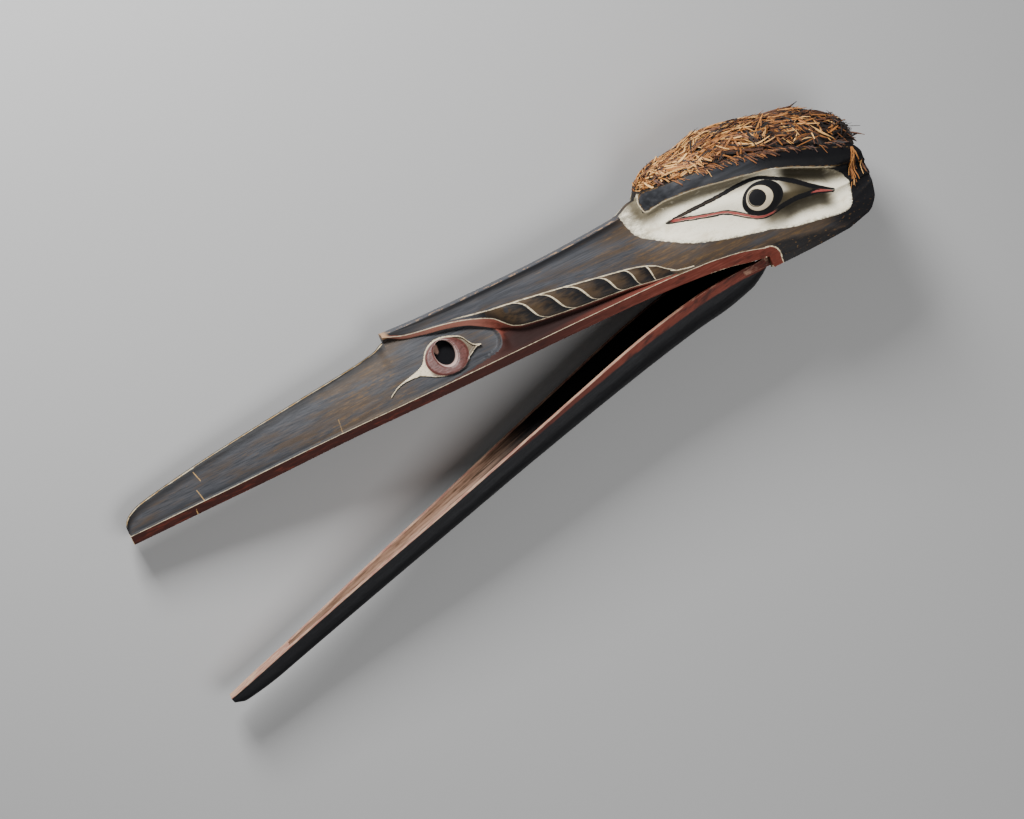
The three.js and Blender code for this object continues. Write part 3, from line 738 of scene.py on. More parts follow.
    def head_rows(self, f: Array) -> Columns:
        """Returns the rows of the head: domed crown, brow band, sunk socket with the lids, cheek and lip."""
        wide, brows, sockets = LINES.upper_width(f), LINES.brow_width(f), LINES.socket_width(f)
        edge, brow, socket = LINES.crown_edge(f), LINES.brow_edge(f), LINES.socket_edge(f)
        lip = LINES.lip_top(f)
        foot = np.where(f > AT.lip_end, LINES.lip_foot(f), LINES.chin(f))
        proud = brows + self.brow_proud
        under = proud - 1 - self.brow_drop * ease(AT.crown_front, AT.crown_front - 60, f)
        columns = [
            (0 * f, edge + self.crown_rise * brows), (brows * 0.55, edge + self.crown_rise * brows * 0.7),
            (brows, edge), (proud, mix(edge, brow, 0.5)), (proud - 1, brow), (under, brow - self.brow_cut),
        ]
        top, bottom = LINES.lid_top(f), LINES.lid_foot(f)
        lids = self.lid_bulge * np.minimum(1, (top - bottom) / self.lid_high)
        places = (
            (mix(brow - self.brow_cut, top, 0.5), 0), (top, 0), (mix(top, bottom, 0.5), lids), (bottom, 0),
            (mix(bottom, socket, 0.5), 0),
        )
        for height, swell in places:
            share = (brow - self.brow_cut - height) / (brow - self.brow_cut - socket)
            dish = self.socket_dish * np.sin(np.pi * share)
            columns.append((mix(under, sockets, share) - dish + swell, height))
        columns.append((sockets, socket))
        for t in (0.1, 0.2, 0.4, 0.6, 0.8):
            share = t**0.8
            columns.append((mix(sockets, wide - 1, share * share * (3 - 2 * share)), mix(socket, lip + 3, t)))
        return joined_rows(*columns, (wide - 1, lip + 3), (wide + 1, lip), (wide, foot))

    def fine(self, rows: Columns, f: Array, hard: tuple[int, ...]) -> Rows:
        """Returns the outer rows of straight sections, refined, with corners at the hard rows."""
        return Rows.straight(f, *rows).finer(self.outer_counts, hard)

    def outer_surface(self, f: Array) -> Rows:
        """Returns the refined outer rows at any station from the tip to the last straight section.

        Between the head and the ridge both surfaces are read at the same heights, and the share of the
        ridge grows forward: the crown and brow give way last and the cheek first.
        """
        head = self.fine(self.head_rows(f), f, self.head_hard)
        ridge = self.fine(self.ridge_rows(f), f, self.outer_hard)
        front = self.fine(self.front_rows(f), f, self.outer_hard)
        row = np.concatenate([i + np.arange(count) / count for i, count in enumerate(self.outer_counts)])
        row = np.append(row, len(self.outer_counts))
        start = mix(AT.crown_front, AT.cheek_front, np.clip((row - 4) / 5, 0, 1))
        share = ease(start[None, :], AT.socket_front, head.forward)
        height = mix(head.height, ridge.height, share)
        wide = mix(head.wide, ridge.wide, share)
        flank = row >= 3
        for i in np.nonzero((f > AT.cheek_front) & (f < AT.socket_front))[0]:
            at = height[i, flank]
            both = [np.interp(at, part.height[i, ::-1], part.wide[i, ::-1]) for part in (head, ridge)]
            wide[i, flank] = mix(*both, share[i, flank])
        before = head.forward > AT.hood_tip
        return Rows(head.forward, np.where(before, front.wide, wide), np.where(before, front.height, height))

    def inner_rows(self, f: Array) -> Columns:
        """Returns the hollow's rows. Past its end they lie on the flat underside."""
        in_head = 1 - ease(20, 120, f)
        foot = np.where(f > AT.lip_end, LINES.lip_foot(f), LINES.chin(f))
        nest = LINES.lower_width(f) + self.slide_gap
        wide = np.where(f > AT.lip_end, nest, LINES.upper_width(f) - self.cheek_wall)
        roof = LINES.hollow_roof(f)
        knee = mix(roof, LINES.lip_top(f), mix(0.35, 0.12, in_head))
        wall_top = mix(LINES.lip_top(f) + 2, self.head_wall_top, in_head)
        hollow = joined_rows(
            (0 * f, roof), (wide * 0.4, roof), (wide * 0.74, knee), (wide, wall_top), (wide, foot),
        )
        flat_wide = np.minimum(wide, LINES.upper_width(f) - 4)
        flat = joined_rows(*[(flat_wide * share, foot) for share in (0, 0.25, 0.5, 0.75, 1)])
        solid = (f > AT.hollow_end)[:, None]
        return tuple(np.where(solid, flat[k], hollow[k]) for k in range(2))

    def rear_arc(self, height: Array) -> Array:
        """Returns how far back the head's rear edge lies at a height: a squarish oval in the side view."""
        up = np.clip(np.abs(height - self.rear_middle) / self.rear_half, 0, 1)
        return AT.rear_start - self.rear_bulge * (1 - up**self.rear_power) ** (1 / self.rear_power)

    def carried_back(self, rows: Columns, ends: Array) -> Rows:
        """Carries rows from the last straight section to the rear arc.

        Args:
            rows: The wide and height of the last straight section, one station.
            ends: The height at which each row meets the arc.

        Returns:
            The rows of the stations behind that section.
        """
        wide, height = rows
        share = np.linspace(0, 1, self.rear_stations)[1:, None]
        forward = mix(AT.rear_start, self.rear_arc(ends), share)
        narrowing = LINES.upper_width(forward) / LINES.upper_width(AT.rear_start)
        return Rows(forward, wide * narrowing, mix(height, ends, share))

    def stations(self) -> Array:
        """Returns the places of the sections from the tip back, closer together where the carving is."""
        spans = (
            (AT.tip, 1196, 14), (1190, 745, 42), (741, AT.hood_tip + 1, 12), (AT.hood_tip - 0.5, 552, 50),
            (550, 498, 38), (495, 232, 74), (AT.socket_front + 3, 150, 34), (147, 15, 50),
            (AT.lip_end + 0.6, AT.lip_end, 2), (9, AT.rear_start, 58), (AT.hollow_end + 1, AT.hollow_end, 2),
        )
        return np.sort(np.concatenate([np.linspace(*span) for span in spans]))[::-1]

    def shell(self) -> Shell:
        """Returns the whole carving's rows, with the relief of the iris, feathers and nostril added."""
        f = self.stations()
        rear = np.array([AT.rear_start], float)
        cheek = self.outer_ends[-1]
        down = cheek + (self.chin_end - cheek) * np.arange(1, 16) / 15
        outer_back = self.carried_back(self.head_rows(rear), np.concatenate((self.outer_ends, down)))
        inner_back = self.carried_back(self.inner_rows(rear), np.array(self.inner_ends, float))
        outer = self.outer_surface(f).followed_by(outer_back.finer(self.outer_counts, self.head_hard))
        inner = Rows.straight(f, *self.inner_rows(f)).finer(self.inner_counts, self.inner_hard)
        inner = inner.followed_by(inner_back.finer(self.inner_counts, self.inner_hard))
        wide = np.maximum(outer.wide + self.relief(outer.forward, outer.height), 0)
        return Shell(Rows(outer.forward, wide, outer.height), inner)

    def feather_phase(self, f: Array, h: Array) -> Array:
        """Returns a number that is whole on every S-shaped cut between two feathers of the band."""
        top, foot = LINES.ladder_top(f), LINES.ladder_foot(f)
        share = np.clip((top - h) / np.maximum(top - foot, 1), 0, 1)
        slant = 2 * share - 1
        down = 0.5 + 0.5 * (self.cut_bend * slant + (1 - self.cut_bend) * slant**5)
        count = np.arange(len(self.cut_tops), dtype=float)
        at_top = Curve(tuple(zip(self.cut_tops, count)))(f)
        at_foot = Curve(tuple(zip(self.cut_feet, count)))(f)
        return mix(at_top, at_foot, down)

    def relief(self, f: Array, h: Array) -> Array:
        """Returns how far the fine carving stands out from the smooth sections.

        The eye's ball rises as an ellipsoid, the socket is scooped above and below the lids as half waves,
        every feather swells between its cuts, and the nostril lies in a scoop behind a curved edge.
        """
        radius = oval_radius(f, h, OVALS.ball)
        ball = self.ball_round * np.sqrt(np.clip(1 - radius**2, 0, 1)) - self.ball_sunk
        ball = np.maximum(0, ball) * (radius < 1)
        in_head = ease(190, 165, f)
        brow, top = LINES.brow_edge(f) - self.brow_cut, LINES.lid_top(f)
        foot, socket = LINES.lid_foot(f), LINES.socket_edge(f)
        above = np.clip((brow - h) / np.maximum(brow - top, 1), 0, 1) ** 0.7
        below = np.clip((foot - h) / np.maximum(foot - socket, 1), 0, 1) ** 0.8
        scoop = np.minimum(0.26 * (brow - top), self.brow_scoop) * np.sin(np.pi * above)
        scoop += mix(*self.cheek_scoop, ease(-25, 75, f)) * np.sin(np.pi * below)
        band = ease(-1, 3, LINES.ladder_top(f) - h) * ease(-1, 3, h - LINES.ladder_foot(f))
        band = band * ease(182, 205, f) * ease(505, 480, f)
        feathers = self.feather_swell * band * np.sqrt(np.abs(np.sin(np.pi * self.feather_phase(f, h))))
        dip = self.nostril_depth * ease(1.25, 1.0, oval_radius(f, h, OVALS.nostril_dip))
        return ball + feathers - scoop * in_head - dip - self.recess(f, h)

    def recess(self, f: Array, h: Array) -> Array:
        """Returns how deep the scoop behind the nostril is."""
        edge = smooth_path(SHAPES.recess_edge)
        past = f - np.interp(h, edge[:, 0], edge[:, 1])
        under_hood = ease(699, 600, f) * ease(LINES.hood_foot(f) + 0.5, LINES.hood_foot(f) - 3, h)
        sloped = ease(0, 9, past) * ease(90, 12, past)
        return self.recess_depth * sloped * under_hood * ease(56, 66, h)

    def dress(self, piece: Piece, drawn: Array, outside: Array) -> None:
        """Stores on the piece how far each corner lies inside each painted shape.

        Args:
            piece: The carving.
            drawn: Its corners as (forward, height, wide).
            outside: 1 for each corner that is on the outer surface, and 0 for the others.
        """
        f, h = drawn[:, 0], drawn[:, 1]
        spots = drawn[:, :2]
        almond = np.vstack((smooth_path(SHAPES.almond_top), smooth_path(SHAPES.almond_foot)))
        beyond = AT.tip + 30
        ahead = np.linspace(beyond, SHAPES.lip_corner[0][0] + 2, 60)
        lip = np.stack((ahead, LINES.lip_top(ahead)), 1)
        lip = np.vstack((lip, smooth_path(SHAPES.lip_corner), [(beyond, SHAPES.lip_corner[-1][1])]))
        whole = np.arange(150.0, 720.0)
        slope = np.interp(f, whole, np.gradient(LINES.ladder_foot(whole)))
        keep(
            piece,
            place=drawn,
            socket=signed_distance(spots, smooth_path(SHAPES.socket, True)),
            brow=signed_distance(spots, smooth_path(SHAPES.brow, True)),
            almond=signed_distance(spots, almond),
            lid_side=h - 0.5 * (LINES.lid_top(f) + LINES.lid_foot(f)),
            iris_black=oval_distance(f, h, OVALS.iris_black),
            iris_cream=oval_distance(f, h, OVALS.iris_cream),
            pupil=oval_distance(f, h, OVALS.pupil),
            lip=signed_distance(spots, lip),
            groove=signed_distance(spots, smooth_path(SHAPES.groove, True)),
            ladder_top=h - LINES.ladder_top(f),
            ladder_foot=(h - LINES.ladder_foot(f)) / np.sqrt(1 + slope**2),
            feather=self.feather_phase(f, h),
            outside=outside,
            stroke=np.min([path_distance(spots, stroke) for stroke in SHAPES.strokes], axis=0),
            dent=oval_distance(f, h, OVALS.dent),
            drop=np.where(f > AT.hood_tip, LINES.front_ridge(f), LINES.ridge(f)) - h,
            edge=signed_distance(spots, np.array(SHAPES.front_edge)),
        )

    def build(self) -> Piece:
        """Makes the carving, dressed with its paint."""
        shell = self.shell()
        piece, drawn = shell.build("carved_head_and_upper_beak", turn=False)
        self.dress(piece, drawn, shell.outside())
        shade(piece, 34)
        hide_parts("head_and_upper_beak")
        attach(piece, "head")
        return piece


@dataclass
class NostrilRim:
    """The ring round one nostril, with a thorn in front, a short curl behind and a deep pocket.

    It is a thin skin over a fine grid in the side view. Outside the carved outline it dives under the beak.
    """

    side: Side
    head: HeadCarving
    spans: tuple[Span, Span] = ((537, 741), (57, 138.5))
    step: float = 0.9
    skin: float = 1.6
    leaf_proud: float = 2.8
    ring_proud: float = 2.4
    pocket: float = 20.0
    ring: Oval = (612, 95, 40, 31)
    hole: Oval = (612, 101, 19, 22.5)
    glint: Oval = (622, 112, 5, 10)
    outline: Points = (
        (741, 61), (735, 67.6), (727, 73), (716, 79), (703, 83.4), (690, 84.4), (678, 83.8), (668.5, 82.5),
        (656.5, 76.6), (645, 70.8), (628, 65.6), (610, 63.4), (593.5, 66.4), (581.5, 73.5), (575.5, 78.5),
        (568, 82.6), (557, 87.8), (543.8, 88.3), (558.5, 94.5), (565, 102.5), (569.5, 111), (577.5, 118),
        (597.5, 125.5), (616, 128), (632, 124.5), (644, 116.5), (651.5, 107), (658, 100), (668.5, 95.2),
        (683, 91.4), (697, 88.6), (711, 84.6), (723, 78.8), (733, 72),
    )

    def build(self) -> Piece:
        """Makes the skin as a closed body: the relief, the same a little lower, and a wall round the edge."""
        places = [np.arange(*ends, self.step) for ends in self.spans]
        forward, height = np.meshgrid(*places, indexing="ij")
        spots = np.stack((forward.ravel(), height.ravel()), 1)
        leaf = signed_distance(spots, smooth_path(self.outline, True, 6), 12).reshape(forward.shape) - 0.6
        ring = oval_distance(forward, height, self.ring)
        hole = oval_distance(forward, height, self.hole)
        recess = self.head.recess(forward, height)
        inner = mix(self.leaf_proud, 1.2 - recess, ease(0.8, 3.0, leaf) * ease(600, 575, forward))
        proud = mix(-recess - 4, inner, ease(-1.2, 0.5, leaf))
        proud += self.ring_proud * ease(0, 4, ring) - 1.2 * ease(-4, 0, hole)
        proud -= self.pocket * ease(-0.6, 2.2, hole) + 2 * ease(3, 12, hole)
        wide = self.head.front_side(forward, height) + proud
        top = np.stack((forward, height, wide), 2)
        low = top - (0, 0, self.skin)
        number = grid(*forward.shape)
        quads = np.stack((number[:-1, :-1], number[1:, :-1], number[1:, 1:], number[:-1, 1:]), 2)
        quads = quads.reshape(-1, 4)
        edge = np.concatenate((number[:, 0], number[-1, 1:], number[-2::-1, -1], number[0, -2:0:-1]))
        wall = tube(np.stack((edge, edge + number.size)))
        drawn = np.concatenate((top.reshape(-1, 3), low.reshape(-1, 3)))
        drawn[:, 2] *= self.side.value
        faces = np.concatenate((quads, quads[:, ::-1] + number.size, wall))
        piece = new_piece(self.side.named("nostril_rim"), FRAME.place(*drawn.T), faces)
        rim, ring, hole, proud = (np.tile(part.ravel(), 2) for part in (leaf, ring, hole, proud))
        glint = oval_distance(*drawn.T[:2], self.glint)
        keep(piece, place=drawn, rim=rim, ring=ring, hole=hole, proud=proud, glint=glint)
        shade(piece, 60)
        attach(piece, "head")
        return piece


@dataclass
class LowerBeak:
    """The lower beak: a trough with a rounded keel, and an ear at each side of its rear end."""

    rim_wall: float = 11
    trough_floor: float = 13
    outer_power: float = 0.66
    trough_power: float = 0.7
    outer_rows: int = 40
    trough_rows: int = 26
    ear_radius: float = 10
    ear_reach: float = 62
    ear_inner: float = 68.5
    ear_outer: float = 81
    stub: float = 6
    stub_reach: float = 90.2

    def shell(self, f: Array) -> Shell:
        """Returns the rings: sines and cosines of a quarter turn, each raised to a power below one."""
        rim, keel, wide = LINES.lower_rim(f), LINES.lower_keel(f), LINES.lower_width(f)

        def arc(half: Array, low: Array, count: int, power: float) -> Rows:
            """Returns half of every ring, from the middle plane up to the rim."""
            angle = np.linspace(0, np.pi / 2, count)[None, :]
            across = half[:, None] * np.sin(angle) ** power
            up = rim[:, None] - (rim - low)[:, None] * np.maximum(np.cos(angle), 0) ** power
            return Rows.straight(f, across, up)

        trough = np.where(f <= AT.trough_end, keel + self.trough_floor, rim - 0.2)
        outer = arc(wide, keel, self.outer_rows, self.outer_power)
        inner = arc(wide - self.rim_wall, trough, self.trough_rows, self.trough_power)
        bevel = 1.2 * ease(0.97, 1.0, outer.wide / wide[:, None])
        return Shell(Rows(outer.forward, outer.wide - bevel, outer.height), inner)

    def build(self) -> Piece:
        """Makes the trough, with attributes for its painted bands."""
        f = np.sort(np.concatenate((
            np.linspace(AT.lower_rear, 300, 80), np.linspace(304, AT.trough_end, 150),
            [AT.trough_end + 1.5], np.linspace(AT.trough_end + 6, AT.lower_tip, 32),
        )))[::-1]
        shell = self.shell(f)
        piece, drawn = shell.build("carved_lower_beak", turn=True)
        below_rim = LINES.lower_rim(drawn[:, 0]) - drawn[:, 1]
        keep(piece, place=drawn, outside=shell.outside(), below_rim=below_rim)
        shade(piece, 34)
        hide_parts("lower_beak")
        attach(piece, "jaw")
        return piece

    def build_ear(self, side: Side) -> Piece:
        """Makes one ear: a tongue that runs back into the cheek, with a round stub that turns in its hole."""
        angle = np.radians(np.linspace(-90, 90, 17))
        nose = self.ear_radius * np.stack((-np.cos(angle), np.sin(angle)), 1) + (0, AT.hinge_height)
        rim = float(LINES.lower_rim(self.ear_reach))
        outline = np.vstack((nose, [(self.ear_reach, rim - 4), (self.ear_reach, rim - 13)]))
        turn = np.radians(np.arange(0, 360, 15))
        circle = self.stub * np.stack((np.cos(turn), np.sin(turn)), 1) + (0, AT.hinge_height)
        points, quads, triangles, start = [], [], [], 0
        for loop, low, high in (
            (outline, self.ear_inner, self.ear_outer), (circle, self.ear_outer - 3, self.stub_reach),
        ):
            count = len(loop)
            forward, height = opened(loop[:, 0], loop[:, 1])
            mean = np.array(opened(loop[:, 0].mean(), loop[:, 1].mean()))
            for wide in (low, high):
                points.append(np.stack((forward, height, np.full(count, side.value * wide)), 1))
            points.append(np.array([(*mean, side.value * low), (*mean, side.value * high)]))
            number = start + grid(2, count)
            quads.append(tube(number))
            start += 2 * count + 2
            triangles += [fan(number[0], start - 2), fan(number[1], start - 1)]
        drawn = np.concatenate(points)
        faces = np.concatenate(quads), np.concatenate(triangles)
        piece = new_piece(side.named("hinge_ear"), FRAME.place(*drawn.T), *faces)
        keep(piece, place=drawn)
        shade(piece, 40)
        bevel = piece.modifiers.new("worn edges", "BEVEL")
        bevel.width = 1.0 * MM
        bevel.segments = 2
        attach(piece, "jaw")
        return piece


@dataclass(frozen=True)
class BarkLayer:
    """Strips of one kind: how many, how long and wide, how they lie, and where on the mound."""

    count: int
    length: float
    width: float
    heading: float
    spread: float
    along: Span
    round_to: float
    lift: Span
    tone: float


@dataclass(frozen=True)
class BarkTuft:
    """Loose strands that hang on the wood: how many, their size, the line of their roots and their way."""

    count: int
    length: float
    width: float
    first: Point
    last: Point
    toward: Point
    tone: float
    sides: tuple[Side, ...] = (Side.LEFT, Side.RIGHT)


@dataclass
class BarkCrest:
    """The shredded bark on the crown: a rough mound under thousands of flat torn strips."""

    head: HeadCarving
    front: float = 171
    rear: float = -238
    rear_foot: float = 118
    sink: float = 4
    crown_foot: float = 100
    past_box: tuple[Size, Size] = ((-20, -12, 1), (28, 12, 4))
    rings: int = 4
    seed: int = 41
    # The lowest layer is given a dark tone: painted shade under the layers above it.
    layers: tuple[BarkLayer, ...] = (
        BarkLayer(1500, 30, 4.6, 12, 10, (171, -238), 1.57, (-6.5, -3.5), 0.06),
        BarkLayer(720, 34, 3.6, 8, 13, (120, -232), 1.57, (-4.0, -1.0), 0.30),
        BarkLayer(800, 15, 2.6, 10, 48, (169, 70), 1.57, (-3.5, 1.0), 0.44),
        BarkLayer(560, 38, 2.8, -10, 11, (130, -222), 1.52, (-2.0, 1.2), 0.50),
        BarkLayer(680, 18, 2.4, 66, 11, (95, -215), 1.57, (-2.0, 1.5), 0.46),
        BarkLayer(230, 34, 2.2, -4, 20, (60, -212), 0.80, (0.0, 3.0), 0.40),
        BarkLayer(110, 38, 3.0, 12, 18, (-205, -238), 1.30, (-1.0, 2.5), 0.08),
    )
    tufts: tuple[BarkTuft, ...] = (
        BarkTuft(70, 20, 3.0, (-10, 200), (-110, 176), (-0.8, -0.55), 0.36),
        BarkTuft(60, 20, 3.0, (-100, 180), (-196, 146), (-0.8, -0.6), 0.30),
        BarkTuft(5, 17, 1.7, (132, 211), (108, 211), (-0.5, -1), 0.52),
        BarkTuft(7, 16, 1.8, (78, 209), (56, 207), (-0.2, -1), 0.56),
        BarkTuft(4, 11, 1.8, (10, 201), (-20, 196), (-0.4, -1), 0.45),
        BarkTuft(16, 30, 2.6, (-212, 128), (-204, 90), (0.27, -1), 0.60, (Side.LEFT,)),
        BarkTuft(5, 26, 2.2, (-206, 92), (-200, 76), (0.25, -1), 0.66, (Side.LEFT,)),
        BarkTuft(7, 20, 2.4, (-222, 100), (-226, 84), (0.05, -1), 0.30),
        BarkTuft(80, 19, 2.8, (84, 213), (-12, 206), (-0.8, -0.5), 0.40),
    )

    def surface(self, forward: Array, angle: Array, lift: float | Array = 0.0) -> Array:
        """Finds points on the mound.

        The mound is a half oval across: its half width goes with the sine of the angle from the top, and
        its height with the cosine to the power 0.8, from the crown up to the bark's top line.

        Args:
            forward: Places along the mound.
            angle: Angles from the top, in radians, left positive.
            lift: How far above the mound's own height each point is raised.

        Returns:
            The points, as (forward, height, wide).
        """
        wide = LINES.bark_width(forward) * np.sin(angle)
        share = np.clip(np.abs(wide) / LINES.brow_width(forward), 0, 1)
        back = np.maximum(0, AT.rear_start - forward) / (AT.rear_start - self.rear)
        rise = self.head.crown_rise * LINES.brow_width(forward) * (1 - share**2)
        foot = mix(LINES.crown_edge(forward), self.rear_foot, back) + rise - self.sink + 2
        top = np.maximum(LINES.bark_top(forward), foot + 4)
        height = mix(foot, top, np.maximum(np.cos(angle), 0) ** 0.8)
        return np.stack((forward, height + lift, wide), -1)

    def build_core(self) -> Piece:
        """Makes the dark mound that shows between the strips, with a wavy skin."""
        along = np.linspace(self.front - 1, self.rear + 4, 90)
        angle = np.linspace(-np.pi / 2, np.pi / 2, 60)
        forward, turn = np.meshgrid(along, angle, indexing="ij")
        wave = np.sin(forward * 0.23 + 5 * turn) + np.sin(forward * 0.11 - 9 * turn) + np.sin(17 * turn)
        skin = self.surface(forward, turn, -6 + 1.3 * wave * np.cos(turn))
        skin[..., 2] *= 0.93
        skin[..., 1] = np.maximum(skin[..., 1], self.surface(forward, turn * 0 + np.pi / 2, 0)[..., 1] - 14)
        belly = skin[:, ::-1][:, 1:-1].copy()
        belly[..., 1] = np.minimum(belly[..., 1] - 3, self.surface(forward, turn, 0)[:, ::-1][:, 1:-1, 1] - 8)
        belly[..., 1] = np.minimum(belly[..., 1], skin[:, :1, 1] + 6)
        ring = np.concatenate((skin, belly), axis=1)
        number = grid(*ring.shape[:2])
        drawn = np.concatenate((ring.reshape(-1, 3), ring[[0, -1]].mean(1)))
        ends = fan(number[0], number.size), fan(number[-1], number.size + 1)
        points = FRAME.place(*drawn.T)
        piece = new_piece("bark_mound", points, tube(number), np.concatenate(ends))
        keep(piece, place=drawn)
        shade(piece, 60)
        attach(piece, "head")
        return piece

    def directions(self, forward: Array, angle: Array, lift: Array) -> tuple[Array, ...]:
        """Returns places on the mound, and the unit directions back, down its flank and outwards there."""
        here = self.surface(forward, angle)
        back = self.surface(forward - 4, angle) - here
        down = self.surface(forward, angle + 0.05) - here
        back /= np.linalg.norm(back, axis=1, keepdims=True)
        down /= np.linalg.norm(down, axis=1, keepdims=True)
        out = np.cross(down, back)
        out *= np.sign((out * (here - (0, 120, 0))).sum(1))[:, None]
        out /= np.linalg.norm(out, axis=1, keepdims=True)
        return here + lift[:, None] * out, back, down, out

    def lay(self, layer: BarkLayer, chance: np.random.Generator) -> Strips:
        """Lays the strips of one layer: straight flat splinters that follow the mound and lift at one end.

        Args:
            layer: What the strips are like.
            chance: The source of random numbers.

        Returns:
            Corners of shape (strips, rings, 4, 3), each strip's tone, and a (along, across) pair for each
            corner.
        """
        count = layer.count
        forward = chance.uniform(*sorted(layer.along), count)
        angle = layer.round_to * chance.uniform(-1, 1, count) * chance.uniform(0.75, 1.0, count) ** 0.5
        length = layer.length * chance.uniform(0.55, 1.5, count)
        width = layer.width * chance.uniform(0.45, 1.5, count)
        thick = chance.uniform(0.5, 1.0, count)
        lift = chance.uniform(*layer.lift, count)
        wave = 24 * np.sin(forward * 0.05 + 2.3 * angle) + 18 * np.sin(forward * 0.083 - 3.4 * angle + 1)
        heading = np.radians(np.sign(angle) * layer.heading + wave + chance.normal(0, layer.spread, count))
        bend = np.radians(chance.normal(0, 6, count))
        end = np.abs(chance.normal(0, 0.10, count)) + (chance.random(count) < 0.05) * 0.3
        here, back, down, out = self.directions(forward, angle, lift)
        t = np.linspace(0, 1, self.rings)
        run = (t - 0.4)[None, :] * length[:, None]
        turn = heading[:, None] + bend[:, None] * (t - 0.4)[None, :] * 2
        ahead = np.cos(turn)[..., None] * back[:, None] + np.sin(turn)[..., None] * down[:, None]
        fall = run**2 * (np.sin(turn) ** 2 / 200 + np.cos(turn) ** 2 / 600)
        rise = end[:, None] * np.maximum(run, 0) ** 1.5 / np.sqrt(length)[:, None] - fall
        centre = here[:, None] + run[..., None] * ahead + rise[..., None] * out[:, None]
        roll = np.radians(chance.normal(0, 22, count))[:, None, None]
        across = np.cross(out[:, None], ahead)
        flat = np.cos(roll) * across + np.sin(roll) * out[:, None]
        up = np.cross(ahead, flat)
        taper = (1 - chance.uniform(0.1, 0.9, count)[:, None] * np.abs(2 * t - 1) ** 3)[..., None]
        half = 0.5 * width[:, None, None] * taper * flat
        depth = 0.5 * thick[:, None, None] * taper * up
        corners = np.stack(
            (centre - half - depth, centre + half - depth, centre + half + depth, centre - half + depth), 2
        )
        # Strips that lie lower are painted darker, as painted shade under the strips above them.
        tone = layer.tone + chance.normal(0, 0.27, count) + 0.12 * ease(-60, 120, forward) + 0.03 * lift
        tone -= 0.14 * ease(-120, -215, forward)
        sides = 0.5 * width[:, None, None] * np.array((-1, 1, 1, -1))
        return corners, tone, np.stack(np.broadcast_arrays(run[:, :, None], sides), -1)

    def hang(self, tuft: BarkTuft, wood: Rows, chance: np.random.Generator) -> Strips:
        """Hangs one tuft's strands on the wood, each following the surface a little above it.

        Args:
            tuft: What the strands are like.
            wood: The outer surface of the head.
            chance: The source of random numbers.

        Returns:
            The same three arrays as lay.
        """
        spots = np.stack((wood.forward, wood.height), -1).reshape(-1, 2)
        count = tuft.count * len(tuft.sides)
        side = np.repeat([part.value for part in tuft.sides], tuft.count)[:, None]
        root = mix(np.array(tuft.first), np.array(tuft.last), chance.random((count, 1)))
        root = root + chance.normal(0, 1.2, (count, 2))
        way = np.array(tuft.toward) + chance.normal(0, 0.24, (count, 2))
        way /= np.linalg.norm(way, axis=1, keepdims=True)
        run = np.linspace(0, 1, self.rings) * tuft.length * chance.uniform(0.6, 1.3, (count, 1))
        line = root[:, None] + run[..., None] * way[:, None]
        gap = np.abs(line[:, :, None] - spots).sum(-1)
        above = 1.0 + chance.uniform(0, 1.8, (count, 1)) + chance.uniform(0, 0.07, (count, 1)) * run
        wide = side * (wood.wide.ravel()[gap.argmin(-1)] + above)
        half = 0.5 * tuft.width * chance.uniform(0.5, 1.3, (count, 1)) * np.linspace(1, 0.45, self.rings)
        across = np.stack((-way[:, 1], way[:, 0]), -1)[:, None] * half[..., None]
        corners = []
        for edge, lift in ((-1, -0.4), (1, -0.4), (1, 0.4), (-1, 0.4)):
            corners.append(np.concatenate((line + edge * across, (wide + side * lift)[..., None]), -1))
        tone = tuft.tone + chance.normal(0, 0.15, count)
        sides = half[..., None] * np.array((-1, 1, 1, -1))
        return np.stack(corners, 2), tone, np.stack(np.broadcast_arrays(run[..., None], sides), -1)

    def build_strips(self) -> Piece:
        """Makes the torn strips, leaving out those that would stand past the whole model's bounds, and laid
        strips that reach below the crown.
        """
        chance = np.random.default_rng(self.seed)
        laid = [self.lay(layer, chance) for layer in self.layers]
        wood = self.head.shell().outer
        laid += [self.hang(tuft, wood, chance) for tuft in self.tufts]
        hung = sum(tuft.count * len(tuft.sides) for tuft in self.tufts)
        corners, tone, fibre = (np.concatenate(part) for part in zip(*laid))
        flat = corners.reshape(-1, 3)
        points = FRAME.place(*flat.T).reshape(len(tone), -1, 3)
        low, high = np.array(CAD_BOX) + MM * np.array(self.past_box)
        kept = np.all((points > low) & (points < high), axis=(1, 2))
        on_crown = np.all(flat.reshape(len(tone), -1, 3)[..., 1] > self.crown_foot, axis=1)
        kept &= on_crown | (np.arange(len(tone)) >= len(tone) - hung)
        points, tone, fibre = points[kept].reshape(-1, 3), tone[kept], fibre[kept]
        number = grid(len(tone), self.rings, 4)
        quads = np.concatenate((tube(number), number[:, 0, ::-1], number[:, -1]))
        piece = new_piece("bark_strips", points, quads)
        spread = np.broadcast_to(40 * tone[:, None, None], fibre.shape[:-1])
        fibre = np.concatenate((fibre, spread[..., None]), -1).reshape(-1, 3)
        keep(piece, tone=np.repeat(tone, self.rings * 4), fibre=fibre)
        shade(piece, 40)
        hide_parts("bark_crest")
        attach(piece, "head")
        return piece


